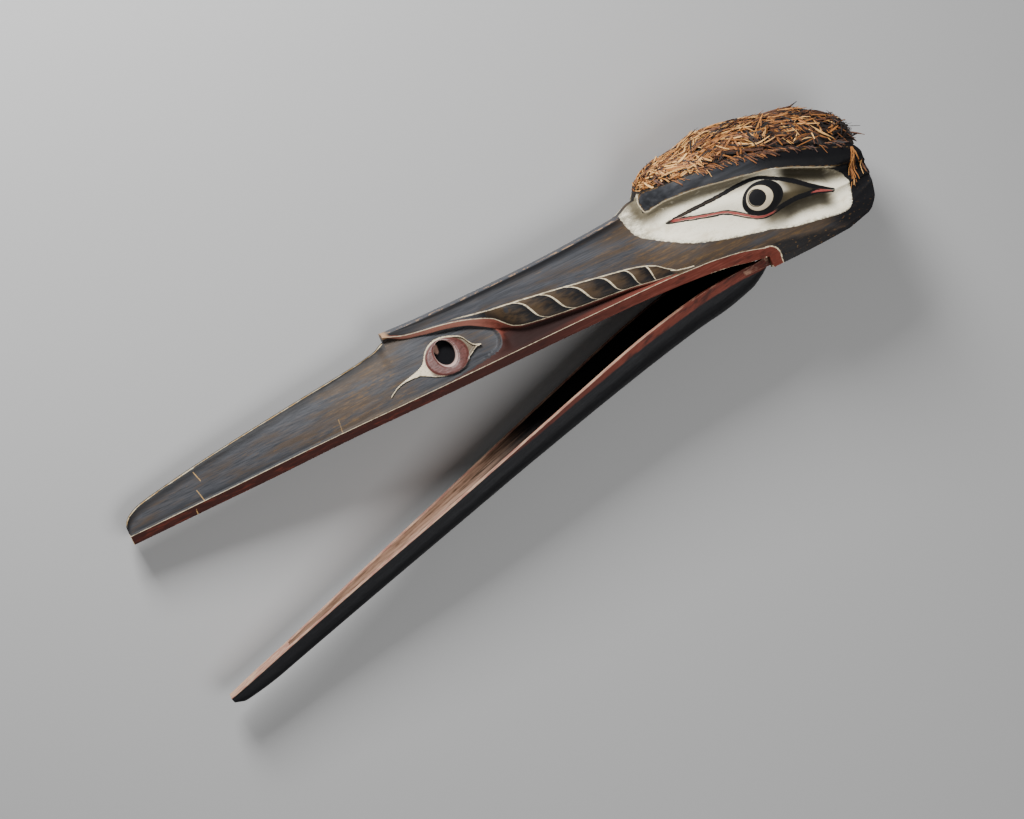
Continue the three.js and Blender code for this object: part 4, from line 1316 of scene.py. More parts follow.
class Finish:
    """One node material, put together from small steps that each return a socket.

    A step that takes a value also takes the name of a number that is stored on the piece.
    """

    def __init__(self, name: str) -> None:
        """Starts the material with its shader and output."""
        self.material = bpy.data.materials.new(name)
        self.material.use_nodes = True
        self.nodes = self.material.node_tree.nodes
        self.links = self.material.node_tree.links
        self.shader = next(node for node in self.nodes if node.type == "BSDF_PRINCIPLED")

    def stored(self, name: str, output: str = "Fac") -> Socket:
        """Returns what is stored on the piece under a name, as a number or as its Vector."""
        node = self.nodes.new("ShaderNodeAttribute")
        node.attribute_name = name
        return node.outputs[output]

    def read(self, value: Value) -> Socket | float:
        """Returns a value as it is, or the number that is stored under its name."""
        return self.stored(value) if isinstance(value, str) else value

    def feed(self, socket: Socket, value: Socket | float | Colour) -> None:
        """Links an input to a socket, or sets it to a plain number or colour."""
        if isinstance(value, Socket):
            self.links.new(value, socket)
        elif isinstance(value, tuple):
            socket.default_value = (*value, 1)
        else:
            socket.default_value = value

    def part(self, axis: str) -> Socket:
        """Returns one component, X, Y or Z, of the place on the mask."""
        place = self.stored("place", "Vector")
        node = self.nodes.new("ShaderNodeSeparateXYZ")
        self.links.new(place, node.inputs[0])
        return node.outputs[axis]

    def noise(self, size: Size, detail: float = 3, rough: float = 0.55, name: str = "place") -> Socket:
        """Returns cloudy noise.

        Args:
            size: How large its grains are along each axis, in millimetres.
            detail: How many finer layers it has.
            rough: How strong the finer layers are.
            name: The stored vector that it is read at.

        Returns:
            A number from about 0 to 1.
        """
        place = self.stored(name, "Vector")
        mapping = self.nodes.new("ShaderNodeMapping")
        self.links.new(place, mapping.inputs["Vector"])
        mapping.inputs["Scale"].default_value = tuple(1 / part for part in size)
        node = self.nodes.new("ShaderNodeTexNoise")
        self.links.new(mapping.outputs["Vector"], node.inputs["Vector"])
        for key, value in (("Scale", 1.0), ("Detail", detail), ("Roughness", rough)):
            node.inputs[key].default_value = value
        return node.outputs["Fac"]

    def patches(self, size: Size, low: float, high: float, detail: float = 3, rough: float = 0.55) -> Socket:
        """Returns noise made into patches: 0 where it is low and 1 where it is high."""
        return self.step(self.noise(size, detail, rough), low, high)

    def math(self, operation: str, *values: Value, clamp: bool = False) -> Socket:
        """Returns the result of one operation on sockets or numbers."""
        values = [self.read(value) for value in values]
        node = self.nodes.new("ShaderNodeMath")
        node.operation = operation
        node.use_clamp = clamp
        for socket, value in zip(node.inputs, values):
            self.feed(socket, value)
        return node.outputs[0]

    def step(self, value: Value, low: float, high: float) -> Socket:
        """Returns 0 at low and 1 at high, on a smooth S in between. Low may lie above high."""
        value = self.read(value)
        node = self.nodes.new("ShaderNodeMapRange")
        node.interpolation_type = "SMOOTHSTEP"
        self.feed(node.inputs["Value"], value)
        flip = low > high
        node.inputs["From Min"].default_value = min(low, high)
        node.inputs["From Max"].default_value = max(low, high)
        node.inputs["To Min"].default_value = 1.0 if flip else 0.0
        node.inputs["To Max"].default_value = 0.0 if flip else 1.0
        return node.outputs["Result"]

    def inside(self, value: Value, grow: float = 0, soft: float = 0.5) -> Socket:
        """Returns 1 where a signed distance is inside the shape, grown by some millimetres."""
        return self.step(value, -grow - soft, -grow + soft)

    def line(self, value: Value, half: float, soft: float = 0.5, at: float = 0) -> Socket:
        """Returns 1 on a line of the given half width, where a signed distance has the value at."""
        away = self.math("SUBTRACT", value, at) if at else value
        return self.step(self.math("ABSOLUTE", away), half + soft, half - soft)

    def folded(self, operation: str, masks: Sequence[Value]) -> Socket:
        """Returns masks taken together, two at a time, by one operation."""
        result = masks[0]
        for mask in masks[1:]:
            result = self.math(operation, result, mask)
        return result

    def both(self, *masks: Value) -> Socket:
        """Returns the product of masks and numbers."""
        return self.folded("MULTIPLY", masks)

    def either(self, *masks: Value) -> Socket:
        """Returns the greatest of masks."""
        return self.folded("MAXIMUM", masks)

    def shaken(self, value: Value, by: float, size: float) -> Socket:
        """Returns a distance made uneven by noise, as a hand-painted edge is."""
        noise = self.math("SUBTRACT", self.noise((size, size, size), 2), 0.5)
        return self.math("ADD", value, self.both(noise, by))

    def paint(self, under: Paint, over: Paint, mask: Value, share: float = 1.0) -> Socket:
        """Lays a colour over another where the mask is 1.

        Args:
            under: The colour below.
            over: The colour on top.
            mask: Where the top colour shows.
            share: How much of it shows there.

        Returns:
            The colour that results.
        """
        mask = self.read(mask) if share == 1.0 else self.both(mask, share)
        node = self.nodes.new("ShaderNodeMix")
        node.data_type = "RGBA"
        mix_factor, mix_under, mix_over, mix_result = 0, 6, 7, 2
        for key, value in ((mix_factor, mask), (mix_under, under), (mix_over, over)):
            self.feed(node.inputs[key], value)
        return node.outputs[mix_result]

    def coats(self, colour: Paint, *coats: tuple[Paint | Value, ...]) -> Socket:
        """Lays several colours on, one after another.

        Args:
            colour: The colour below them all.
            coats: For each, the colour, its mask and, where it is thin, its share.

        Returns:
            The colour that results.
        """
        for coat in coats:
            colour = self.paint(colour, *coat)
        return colour

    def bump(self, height: Socket, depth: float) -> None:
        """Gives the surface a relief of the given depth in millimetres."""
        node = self.nodes.new("ShaderNodeBump")
        node.inputs["Strength"].default_value = 1.0
        node.inputs["Distance"].default_value = depth * MM
        self.links.new(height, node.inputs["Height"])
        self.links.new(node.outputs["Normal"], self.shader.inputs["Normal"])

    def set(self, name: str, value: Value | Colour) -> None:
        """Sets or links one input of the shader."""
        self.feed(self.shader.inputs[name], value)

    def put_on(self, piece: Piece) -> None:
        """Makes this the only material of a piece."""
        piece.data.materials.clear()
        piece.data.materials.append(self.material)


@dataclass(frozen=True)
class Palette:
    """The colours of the old paints, the wood and the bark, the painted shade and sheen, and how much the
    painted wood shines.
    """

    black: Colour = (0.006, 0.006, 0.007)
    graphite: Colour = (0.019, 0.020, 0.023)
    # Pale graphite for worn streaks, and for the painted sheen on the beak's side and the brow's front.
    graphite_pale: Colour = (0.062, 0.064, 0.072)
    umber: Colour = (0.050, 0.031, 0.016)
    ochre: Colour = (0.150, 0.082, 0.026)
    white: Colour = (0.86, 0.80, 0.63)
    white_soiled: Colour = (0.25, 0.22, 0.145)
    cream: Colour = (0.58, 0.49, 0.34)
    # Painted shade for the socket's hollows and behind the iris; also laid over the socket's front end.
    olive: Colour = (0.070, 0.054, 0.028)
    # The deepest painted shade, under the rear of the brow and the lids and in the eye's rear corner.
    grime: Colour = (0.020, 0.016, 0.009)
    brick: Colour = (0.085, 0.018, 0.011)
    brick_pale: Colour = (0.18, 0.050, 0.036)
    brick_dark: Colour = (0.016, 0.006, 0.005)
    dusty: Colour = (0.34, 0.165, 0.125)
    pink: Colour = (0.36, 0.075, 0.065)
    bare_wood: Colour = (0.40, 0.24, 0.13)
    bare_dark: Colour = (0.055, 0.034, 0.022)
    nick: Colour = (0.44, 0.27, 0.10)
    trough_dark: Colour = (0.15, 0.088, 0.055)
    trough_pale: Colour = (0.40, 0.25, 0.175)
    rubbed_rim: Colour = (0.50, 0.325, 0.225)
    nostril_brick: Colour = (0.092, 0.032, 0.027)
    nostril_dark: Colour = (0.048, 0.015, 0.011)
    nostril_edge: Colour = (0.42, 0.30, 0.27)
    nostril_glint: Colour = (0.33, 0.20, 0.16)
    bark_black: Colour = (0.008, 0.004, 0.003)
    bark_brown: Colour = (0.10, 0.034, 0.012)
    bark_orange: Colour = (0.37, 0.135, 0.027)
    bark_straw: Colour = (0.76, 0.43, 0.145)
    mound_black: Colour = (0.008, 0.005, 0.004)
    mound_brown: Colour = (0.05, 0.02, 0.010)
    shine: float = 0.13


PAINTS = Palette()


class CarvedPaint(Finish):
    """The finish of the head and upper beak, with every painted shape."""

    def __init__(self) -> None:
        """Builds the material from the ground up: worn graphite, then each shape over it."""
        super().__init__("carved_and_painted_cedar")
        self.forward, self.height = self.part("X"), self.part("Y")
        self.wide = self.math("ABSOLUTE", self.part("Z"))
        colour = self.feathers(self.ground())
        colour, red = self.reds(colour)
        colour, white = self.whites(colour)
        colour, black = self.blacks(colour)
        colour = self.wear(self.cream_lines(colour))
        hollow = self.step("outside", 0.6, 0.4)
        self.set("Base Color", self.paint(colour, self.bare(), hollow))
        rough = self.math("MULTIPLY_ADD", self.noise((60, 1.2, 1.2), 4, 0.6), 0.26, 0.36)
        rough = self.math("ADD", rough, self.both(self.either(white, red, hollow), 0.2))
        self.set("Roughness", self.math("SUBTRACT", rough, self.both(black, 0.05), clamp=True))
        self.set("Specular IOR Level", PAINTS.shine)
        grain = self.both(self.noise((70, 0.9, 0.9), 3, 0.6), 0.30)
        knife = self.noise((26, 9, 9), 1, 0.4)
        speck = self.both(self.noise((1.1, 1.1, 1.1), 2, 0.5), white)
        relief = self.math("ADD", self.math("ADD", grain, knife), self.both(speck, 0.45))
        self.bump(relief, 0.5)

    def along(self, low: float, high: float) -> Socket:
        """Returns 0 at one distance forward and 1 at the other."""
        return self.step(self.forward, low, high)

    def up(self, low: float, high: float) -> Socket:
        """Returns 0 at one height and 1 at the other."""
        return self.step(self.height, low, high)

    def out(self, low: float, high: float) -> Socket:
        """Returns 0 at one distance from the middle plane and 1 at the other."""
        return self.step(self.wide, low, high)

    def band(self) -> Socket:
        """Returns 1 inside the feather band."""
        return self.both(self.step("ladder_top", 0.5, -0.5), self.step("ladder_foot", -0.5, 0.5))

    def ground(self) -> Socket:
        """Returns the graphite ground: streaked, with painted sheen on the side and painted shade under the
        ridge, browned on the cheek and black behind.
        """
        streak = self.noise((110, 2.2, 2.2), 5, 0.66)
        broad = self.noise((130, 20, 20), 3, 0.6)
        # Painted sheen: the pale streaks show most down the middle of the side, below the ridge and above the
        # lip.
        sheen = self.both(self.step("drop", 4, 16), self.step("lip", -3, -16))
        pale = self.both(self.step(streak, 0.22, 0.80), self.math("MULTIPLY_ADD", sheen, 0.8, 0.15))
        cheek = self.both(self.along(420, 150), self.along(-190, -90))
        near_nostril = self.both(self.along(930, 780), self.along(660, 740))
        warm = self.both(self.either(cheek, near_nostril), 0.13)
        brown = self.math("MULTIPLY_ADD", broad, 0.65, self.both(streak, 0.45))
        brown = self.step(self.math("ADD", brown, warm), 0.52, 0.72)
        rubbed = self.math("ADD", self.noise((80, 6, 6), 4, 0.65), self.both(warm, 0.8))
        rubbed = self.both(self.step(rubbed, 0.57, 0.70), self.patches((16, 2, 2), 0.42, 0.6, 4, 0.7))
        past_crown = self.along(196, 240)
        # Painted shade on the side just under the ridge's overhang, fading over about a centimetre below it.
        shade_under_ridge = self.both(self.step("drop", 17, 5), past_crown)
        top = self.both(self.step("drop", 3.5, 1.5), past_crown, self.along(701, 699))
        rear = self.step(self.math("MULTIPLY_ADD", broad, 60, self.forward), -62, -125)
        fleck = self.both(self.patches((9, 3, 3), 0.60, 0.68, 5, 0.7), self.up(90, 20))
        black = self.paint(PAINTS.black, PAINTS.ochre, fleck, 0.7)
        crown = self.both(self.up(128, 150), self.along(196, 180), 0.8)
        from_socket = self.math("MULTIPLY_ADD", broad, 26, "socket")
        jaw = self.both(self.step(from_socket, 0, -12), self.along(16, -12), self.up(60, 45), 0.92)
        return self.coats(
            PAINTS.graphite, (PAINTS.graphite_pale, pale), (PAINTS.umber, brown, 0.75),
            (PAINTS.ochre, rubbed, 0.4), (PAINTS.black, shade_under_ridge, 0.85), (PAINTS.graphite_pale, top),
            (black, self.either(rear, crown, jaw)),
        )

    def feathers(self, colour: Socket) -> Socket:
        """Gives every feather of the band painted light and shade: brown and lighter towards one cut, nearly
        black at its foot.
        """
        # Painted light and shade on each feather: lighter towards one cut, and darker towards the band's
        # foot.
        across = self.both(self.math("FRACT", "feather"), 0.5)
        light = self.math("MULTIPLY_ADD", self.noise((18, 5, 5)), 0.7, across)
        olive = self.paint(PAINTS.black, PAINTS.umber, self.step(light, 0.40, 0.85))
        olive = self.paint(olive, PAINTS.black, self.step("ladder_foot", 14, 1), 0.65)
        return self.paint(colour, olive, self.both(self.band(), self.along(180, 190), self.along(560, 500)))

    def reds(self, colour: Socket) -> tuple[Socket, Socket]:
        """Lays on the lips, the groove under the feather band and the hood's edge, with painted shadow deep
        in the groove.
        """
        worn = self.patches((60, 2.5, 2.5), 0.42, 0.85, 4, 0.65)
        brick = self.paint(PAINTS.brick, PAINTS.brick_pale, worn)
        brick = self.paint(brick, PAINTS.brick_dark, self.patches((30, 10, 10), 0.52, 0.7), 0.5)
        red = self.paint(brick, PAINTS.brick_pale, self.step("groove", 7, 2), 0.5)
        # Painted shadow deep inside the groove, under the feather band.
        deep = self.both(self.step("groove", 4, 8), self.along(515, 480))
        near_lip = self.both(self.step("lip", -8, -4), self.along(500, 330))
        low = self.both(self.along(330, 450), self.up(92, 76))
        middle = self.both(self.along(200, 330), self.along(520, 480))
        red = self.coats(
            red, (PAINTS.brick_dark, deep, 0.92), (PAINTS.dusty, self.along(500, 560), 0.45),
            (PAINTS.brick_pale, near_lip, 0.4), (PAINTS.brick_dark, low, 0.88),
            (PAINTS.brick_dark, middle, 0.55),
        )
        groove = self.inside(self.shaken("groove", 0.8, 6))
        lip = self.inside(self.shaken("lip", 0.6, 6))
        dull = self.paint(brick, PAINTS.brick_dark, self.along(90, 520), 0.86)
        rubbed = self.both(self.patches((44, 5, 5), 0.50, 0.68, 4, 0.7), self.along(420, 700))
        dull = self.paint(dull, PAINTS.brick, rubbed, 0.75)
        colour = self.paint(self.paint(colour, red, groove), dull, lip)
        return colour, self.either(lip, groove)

    def whites(self, colour: Socket) -> tuple[Socket, Socket]:
        """Lays on the speckled white of the eye's socket, with painted shade in its hollows that is darkest
        behind the eye.
        """
        chalk = self.paint(PAINTS.white, PAINTS.cream, self.patches((30, 14, 14), 0.45, 0.75), 0.6)
        speck = self.patches((1.5, 1.5, 1.5), 0.57, 0.68, 3, 0.7)
        # Painted shade in the socket's hollows: under the brow, behind the eye and under the lower lid.
        under_brow = self.both(self.step("brow", -32, -11), self.along(-60, 10))
        behind = self.both(self.step("brow", -36, -13), self.along(-55, -85))
        under_lid = self.both(
            self.step("almond", -32, -9), self.step("lid_side", 0, -10),
            self.along(15, -25), self.along(-160, -130),
        )
        hollow = self.either(under_brow, behind, under_lid)
        hollow = self.both(hollow, self.patches((18, 8, 8), 0.02, 0.46, 4, 0.6))
        # The deepest painted shade, close under the rear of the lower lid and of the brow.
        deep_lid = self.both(
            self.step("almond", -38, -19), self.step("lid_side", 4, -5),
            self.along(-5, -60), self.along(-158, -128),
        )
        deep_brow = self.both(
            self.step("brow", -40, -17), self.step("lid_side", 6, 16),
            self.along(-50, -80), self.along(-176, -140),
        )
        deep = self.both(self.either(deep_lid, deep_brow), self.patches((22, 9, 9), -0.2, 0.40, 3, 0.5))
        soiled = self.both(self.step("socket", 7, 0), self.patches((7, 5, 5), 0.40, 0.65, 4, 0.7))
        front = self.both(self.along(158, 205), self.patches((14, 7, 7), 0.30, 0.62, 4, 0.7))
        # Darker patches over the socket's front end.
        chalk = self.coats(
            chalk, (PAINTS.white_soiled, speck, 0.5), (PAINTS.olive, hollow, 0.9),
            (PAINTS.grime, deep, 0.93), (PAINTS.white_soiled, soiled, 0.75), (PAINTS.olive, front, 0.65),
        )
        mask = self.both(self.inside(self.shaken("socket", 1.2, 5)), self.out(6, 11))
        return self.paint(colour, chalk, mask), mask

    def blacks(self, colour: Socket) -> tuple[Socket, Socket]:
        """Lays on the brow with a painted sheen, the eye's outline with its pink line, painted shade behind
        the iris, and the iris and the pupil with a painted highlight.
        """
        almond = self.shaken("almond", 0.6, 7)
        upper, lower = self.step("lid_side", -1, 1), self.step("lid_side", 1, -1)
        white = self.inside(almond, -1)
        half = self.math("ADD", self.along(-40, -95), self.math("ADD", self.along(150, 90), 2.0))
        from_line = self.math("SUBTRACT", self.math("ABSOLUTE", almond), half)
        lines = self.either(
            self.both(upper, self.step(from_line, 0.5, -0.5)),
            self.both(lower, self.line(almond, 1.2, at=-1.9)),
            self.both(lower, self.line(almond, 1.1, at=3.6), self.along(-60, -40)),
            self.both(lower, self.line(almond, 4.0, at=1.6), self.along(-16, -44)),
            self.both(self.inside(almond, 1), self.along(132, 140)),
        )
        worn = self.both(upper, self.line(almond, 0.4), self.along(40, 60), self.along(140, 120))
        pink_tail = self.both(
            lower, self.line(almond, 1.2, at=1.0), self.along(-152, -144), self.along(-106, -114),
        )
        pink_front = self.both(
            lower, self.line(almond, 1.5, at=1.0), self.along(-36, -24), self.along(148, 138),
        )
        pink = self.both(self.either(pink_front, pink_tail), self.step("iris_black", 1, -1))
        iris, pupil = self.inside("iris_black"), self.inside("pupil")
        # A painted highlight: a thin cream crescent inside the front of the pupil.
        pupil_highlight = self.both(self.line("pupil", 0.35, at=1.6), self.along(-8, 2))
        # Painted sheen on the front of the brow, black further back.
        sheen = self.paint(PAINTS.graphite, PAINTS.graphite_pale, self.patches((80, 9, 9), 0.32, 1.0, 3, 0.5))
        sheen = self.paint(PAINTS.black, sheen, self.along(-60, 10))
        brow = self.inside(self.shaken("brow", 0.8, 6), -1.0)
        # Behind the iris the white between the lids takes painted shade, darkest in the rear corner.
        colour = self.coats(
            colour, (PAINTS.olive, self.both(white, self.along(-40, -76)), 0.95),
            (PAINTS.grime, self.both(white, self.along(-66, -100)), 0.75),
            (PAINTS.black, lines), (PAINTS.umber, worn, 0.7), (PAINTS.pink, pink), (PAINTS.black, iris),
            (PAINTS.cream, self.inside("iris_cream")), (PAINTS.black, pupil),
            (PAINTS.cream, pupil_highlight, 0.7), (sheen, brow),
        )
        ring = self.both(iris, self.step("iris_cream", 1, -1))
        return colour, self.either(brow, ring, pupil)

    def cream_lines(self, colour: Socket) -> Socket:
        """Lays on the thin cream lines along the brow, lip, feather band, hood and the front ridge's edge."""
        lip = self.both(self.line(self.shaken("lip", 0.6, 5), 0.35, 0.35), self.up(-12, -8))
        corner = self.both(self.line(self.shaken("lip", 0.6, 5), 0.7), self.along(30, 5))
        top = self.line(self.shaken("ladder_top", 1.2, 9), 0.75)
        top = self.both(top, self.along(178, 184), self.along(585, 545))
        foot = self.line(self.shaken("ladder_foot", 1.0, 9), 0.65)
        foot = self.both(foot, self.along(186, 200), self.along(702, 696))
        from_cut = self.math("SUBTRACT", self.math("FRACT", self.math("ADD", "feather", 0.5)), 0.5)
        from_cut = self.both(self.math("ABSOLUTE", from_cut), SHAPES.feather_pitch)
        width = self.math("MULTIPLY_ADD", self.step("ladder_foot", 2, 18), 0.9, 0.7)
        from_cut = self.math("SUBTRACT", from_cut, self.shaken(width, 0.9, 7))
        first_and_last = self.step("feather", 0.5, 0.6), self.step("feather", 6.6, 6.4)
        cuts = self.both(self.step(from_cut, 0.5, -0.5), self.band(), *first_and_last)
        under_brow = self.both(self.line("brow", 0.8, at=-0.6), self.step("socket", -6, -2))
        stroke = self.step(self.shaken("stroke", 0.8, 4), 1.2, 0.5)
        edge = self.both(
            self.step(self.shaken("edge", 1.2, 8), 0.9, 0.2), self.along(701, 703), self.out(2.2, 3.0),
            self.either(self.along(1234.5, 1233.5), self.out(14, 16)),
        )
        tan = self.paint(PAINTS.nick, PAINTS.cream, self.patches((12, 5, 5), 0.42, 0.58, 4, 0.7))
        colour = self.paint(colour, tan, edge, 0.72)
        lines = self.either(lip, corner, top, foot, cuts, under_brow, stroke)
        worn = self.math("MULTIPLY_ADD", self.patches((9, 3, 3), 0.38, 0.52, 4, 0.7), 0.55, 0.42)
        return self.paint(colour, PAINTS.cream, self.both(lines, worn, self.out(12, 14)))

    def wear(self, colour: Socket) -> Socket:
        """Wears the ridge's edge, the hood's tip, the brow's top edge and some nicks down to bare wood, and
        paints the shade of a dent.
        """
        ridge_edge = self.both(
            self.step("drop", 2.6, 1.4), self.out(8, 10), self.along(200, 240), self.along(700, 696),
            self.patches((16, 4, 4), 0.53, 0.58, 4, 0.7),
        )
        tip = self.both(self.along(684, 694), self.along(700, 698), self.up(162, 165))
        brow_edge = self.both(self.line("brow", 0.9, at=1.0), self.patches((20, 4, 4), 0.48, 0.56, 4, 0.7))
        nicks = self.either(*(self.scratch(*ends) for ends in SHAPES.nicks))
        nicks = self.both(
            nicks, self.patches((3, 3, 3), 0.30, 0.50, 3, 0.7),
            self.math("MULTIPLY_ADD", self.along(900, 1000), 0.5, 0.35),
        )
        # Painted shade of a small dent in the feather band, which is not carved.
        dent = self.inside(self.shaken("dent", 3, 5), 0, 1.2)
        return self.coats(
            colour, (PAINTS.graphite, dent, 0.8), (PAINTS.ochre, brow_edge, 0.7), (PAINTS.nick, nicks),
            (PAINTS.bare_wood, self.either(ridge_edge, tip), 0.8),
        )

    def scratch(self, top: Point, foot: Point) -> Socket:
        """Returns a thin scratch on the side that runs down from one place to another.

        Args:
            top: The forward distance and height of its upper end.
            foot: Those of its lower end.

        Returns:
            A mask that is 1 on the scratch.
        """
        lean = (top[0] - foot[0]) / (top[1] - foot[1])
        across = self.math("MULTIPLY_ADD", self.height, -lean, self.forward)
        across = self.math("SUBTRACT", across, foot[0] - lean * foot[1])
        length = self.both(self.up(foot[1] - 1, foot[1] + 1), self.up(top[1] + 1, top[1] - 1))
        return self.both(self.line(self.shaken(across, 2.0, 5), 0.75, 0.6), length)

    def bare(self) -> Socket:
        """Returns the unpainted wood of the hollow, darkened by handling."""
        grain = self.patches((120, 2.2, 2.2), 0.35, 0.8, 5, 0.65)
        colour = self.paint(PAINTS.bare_dark, PAINTS.bare_wood, grain, 0.55)
        return self.paint(colour, PAINTS.umber, self.patches((40, 25, 25), 0.45, 0.7))


class NostrilPaint(Finish):
    """The finish of the nostril's rim: a brick ring edged with cream, round a pocket painted black in its
    depth as shade.
    """

    def __init__(self) -> None:
        """Builds the material."""
        super().__init__("nostril_paint")
        worn = self.patches((9, 5, 5), 0.40, 0.72, 4, 0.65)
        brick = self.paint(PAINTS.nostril_brick, PAINTS.nostril_dark, worn)
        soiled = self.patches((4, 3, 3), 0.52, 0.68, 4, 0.7)
        flap = self.both(self.step(self.part("X"), 655, 645), self.step("rim", 0.8, 1.3))
        hole = self.inside("hole")
        self.set("Base Color", self.coats(
            PAINTS.cream, (PAINTS.white_soiled, soiled), (PAINTS.umber, flap, 0.9),
            (PAINTS.graphite, self.step("rim", -0.2, -0.8)),
            (brick, self.inside(self.shaken("ring", 0.6, 4), -0.3)),
            (PAINTS.nostril_edge, self.inside("hole", 0.9, 0.4)),
            # Painted shade: black down in the pocket's depth.
            (PAINTS.black, self.step("proud", -4.0, -10.0)),
            (PAINTS.nostril_glint, self.both(self.inside("glint", 0, 1.0), hole)),
        ))
        self.set("Roughness", self.math("MULTIPLY_ADD", hole, 0.5, 0.42))
        self.set("Specular IOR Level", self.math("MULTIPLY_ADD", hole, -0.25, 0.3))
        self.bump(self.noise((12, 3, 3)), 0.5)


class LowerBeakPaint(Finish):
    """The finish of the lower beak: black outside and in the trough, red lips and a rubbed rim."""

    def __init__(self) -> None:
        """Builds the material."""
        super().__init__("lower_beak_paint")
        forward = self.part("X")
        streak = self.noise((200, 3.0, 3.0), 5, 0.62)
        worn = self.noise((50, 2.5, 2.5), 4, 0.65)
        brick = self.paint(PAINTS.brick, PAINTS.brick_pale, self.step(worn, 0.45, 0.90))
        dark = self.either(self.patches((34, 9, 9), 0.50, 0.68), self.step(forward, 250, 620))
        brick = self.paint(brick, PAINTS.brick_dark, dark, 0.75)
        band = self.both(self.step(forward, 700, 480), 8)
        band = self.math("MULTIPLY_ADD", self.step(forward, 520, 150), 9, band)
        in_band = self.inside(self.shaken(self.math("SUBTRACT", band, "below_rim"), 2.0, 9), 0, 1.4)
        tan = self.paint(PAINTS.trough_dark, PAINTS.trough_pale, self.step(streak, 0.28, 0.66))
        stain = self.both(self.step(streak, 0.40, 0.30), self.step(forward, 900, 700))
        tan = self.paint(tan, PAINTS.umber, stain)
        bare_part = self.step(self.math("MULTIPLY_ADD", streak, 110, forward), 560, 760)
        trough = self.paint(PAINTS.black, tan, bare_part, 0.92)
        patch = self.patches((34, 7, 7), 0.42, 0.60, 4, 0.65)
        rear = self.both(self.step(forward, 330, 150), self.math("MULTIPLY_ADD", patch, -0.35, 1.0))
        rim = self.paint(self.paint(PAINTS.dusty, PAINTS.rubbed_rim, patch), brick, rear)
        self.set("Base Color", self.coats(
            PAINTS.black, (PAINTS.graphite, self.step(streak, 0.45, 0.80), 0.45), (brick, in_band),
            (trough, self.step("outside", 0.6, 0.4)), (rim, self.step("below_rim", 1.7, 0.8)),
        ))
        self.set("Roughness", self.math("MULTIPLY_ADD", worn, 0.25, 0.40))
        self.set("Specular IOR Level", PAINTS.shine)
        grain = self.both(self.noise((70, 0.9, 0.9), 3, 0.6), 0.4)
        self.bump(self.math("ADD", grain, self.noise((30, 8, 8), 1, 0.4)), 0.8)


class BarkFinish(Finish):
    """The finish of the torn bark strips, from dark brown to straw, each with its own tone and fibres."""

    def __init__(self) -> None:
        """Builds the material."""
        super().__init__("torn_cedar_bark")
        fibre = self.noise((9, 0.4, 3), 3, 0.6, "fibre")
        mixed = self.math("ADD", "tone", self.both(self.math("SUBTRACT", fibre, 0.5), 0.6))
        self.set("Base Color", self.coats(
            PAINTS.bark_black, (PAINTS.bark_brown, self.step(mixed, 0.16, 0.40)),
            (PAINTS.bark_orange, self.step(mixed, 0.40, 0.62)),
            (PAINTS.bark_straw, self.step(mixed, 0.62, 0.92)),
        ))
        self.set("Roughness", 0.58)
        self.bump(fibre, 0.6)


class BarkShade(Finish):
    """The finish of the dark mound between the strips."""

    def __init__(self) -> None:
        """Builds the material."""
        super().__init__("bark_in_shadow")
        clump = self.noise((9, 3, 3), 5, 0.7)
        brown = self.step(clump, 0.45, 0.75)
        self.set("Base Color", self.paint(PAINTS.mound_black, PAINTS.mound_brown, brown))
        self.set("Roughness", 0.9)
        self.bump(clump, 4.0)


@dataclass(frozen=True)
class PhotoView:
    """Where the picture is taken from: angles about the mask's axes, and a target on its middle plane."""

    yaw: float = 10.0
    rise: float = 14.0
    roll: float = 23.8
    lens: float = 65.0
    sensor: float = 36.0
    distance: float = 3328.0
    target: Point = (536, -55)

    def build(self) -> None:
        """Makes the camera."""
        yaw, rise, roll = (math.radians(part) for part in (self.yaw, self.rise, self.roll))
        toward = Vector((-math.sin(yaw) * math.cos(rise), math.sin(rise), math.cos(yaw) * math.cos(rise)))
        right = Vector((0, 1, 0)).cross(toward).normalized()
        up = toward.cross(right)
        level = right * math.cos(roll) - up * math.sin(roll)
        upright = right * math.sin(roll) + up * math.cos(roll)
        axes = [FRAME.turned(-part.x, part.y, part.z) for part in (level, upright, toward)]
        eye = Vector(FRAME.place(*self.target, 0.0)) + axes[2] * self.distance * MM
        lens = bpy.data.cameras.new("photo_view")
        lens.lens = self.lens
        lens.sensor_width = self.sensor
        lens.clip_end = 60
        camera = bpy.data.objects.new("photo_view", lens)
        camera.matrix_world = Matrix.Translation(eye) @ Matrix(axes).transposed().to_4x4()
        bpy.context.scene.collection.objects.link(camera)
        bpy.context.scene.camera = camera


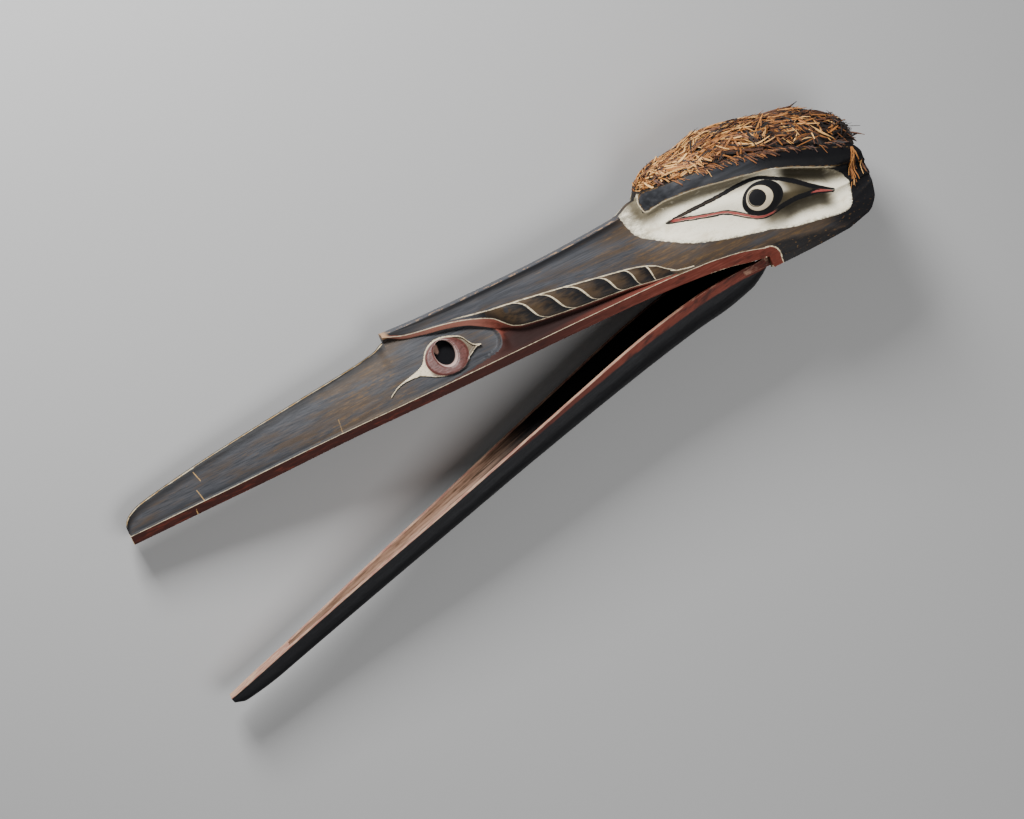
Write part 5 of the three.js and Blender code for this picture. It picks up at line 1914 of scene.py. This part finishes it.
@dataclass(frozen=True)
class Studio:
    """A plain pale floor and soft lights round it."""

    floor_size: float = 14.0
    floor_tone: float = 0.40
    sky_tone: float = 0.30

    def build(self) -> None:
        """Makes the floor, the sky and the lights."""
        half = self.floor_size / 2
        corners = np.array([(-half, -half, 0), (half, -half, 0), (half, half, 0), (-half, half, 0)])
        floor = new_piece("floor", corners, np.array([(0, 1, 2, 3)]))
        paper = Finish("grey_paper")
        paper.set("Roughness", 0.9)
        paper.set("Base Color", (self.floor_tone,) * 3)
        paper.set("Specular IOR Level", 0.1)
        paper.put_on(floor)
        world = bpy.data.worlds.new("studio")
        world.use_nodes = True
        sky = world.node_tree.nodes["Background"]
        sky.inputs["Color"].default_value = (self.sky_tone,) * 3 + (1,)
        sky.inputs["Strength"].default_value = 0.6
        bpy.context.scene.world = world
        self.light("crown_side_light", (-0.5, 2.7, 1.45), 1.0, 190, (0.05, 0.1, 0))
        self.light("overhead_light", (0.5, -1.3, 3.4), 2.2, 82, (0.2, -0.3, 0))

    def light(self, name: str, place: Size, size: float, power: float, aim: Size) -> None:
        """Makes one square soft light.

        Args:
            name: The light's name.
            place: Where it stands, in metres.
            size: The length of its side, in metres.
            power: Its power in watts.
            aim: The point that it faces.
        """
        data = bpy.data.lights.new(name, "AREA")
        data.size = size
        data.energy = power
        lamp = bpy.data.objects.new(name, data)
        lamp.location = place
        lamp.rotation_euler = (Vector(aim) - Vector(place)).to_track_quat("-Z", "Y").to_euler()
        bpy.context.scene.collection.objects.link(lamp)


def main() -> None:
    """Builds the view, the studio and every piece of the mask, in order."""
    logging.basicConfig(level=logging.INFO, format="%(message)s")
    PhotoView().build()
    Studio().build()
    head = HeadCarving()
    lower = LowerBeak()
    crest = BarkCrest(head)
    nostril_paint, lower_paint = NostrilPaint(), LowerBeakPaint()
    dressed = [
        (head.build(), CarvedPaint()),
        (NostrilRim(Side.LEFT, head).build(), nostril_paint),
        (NostrilRim(Side.RIGHT, head).build(), nostril_paint),
        (lower.build(), lower_paint),
        (lower.build_ear(Side.LEFT), lower_paint),
        (lower.build_ear(Side.RIGHT), lower_paint),
        (crest.build_core(), BarkShade()),
        (crest.build_strips(), BarkFinish()),
    ]
    for piece, finish in dressed:
        finish.put_on(piece)
        LOG.info("%s: %d faces", piece.name, len(piece.data.polygons))


if __name__ == "__main__":
    main()
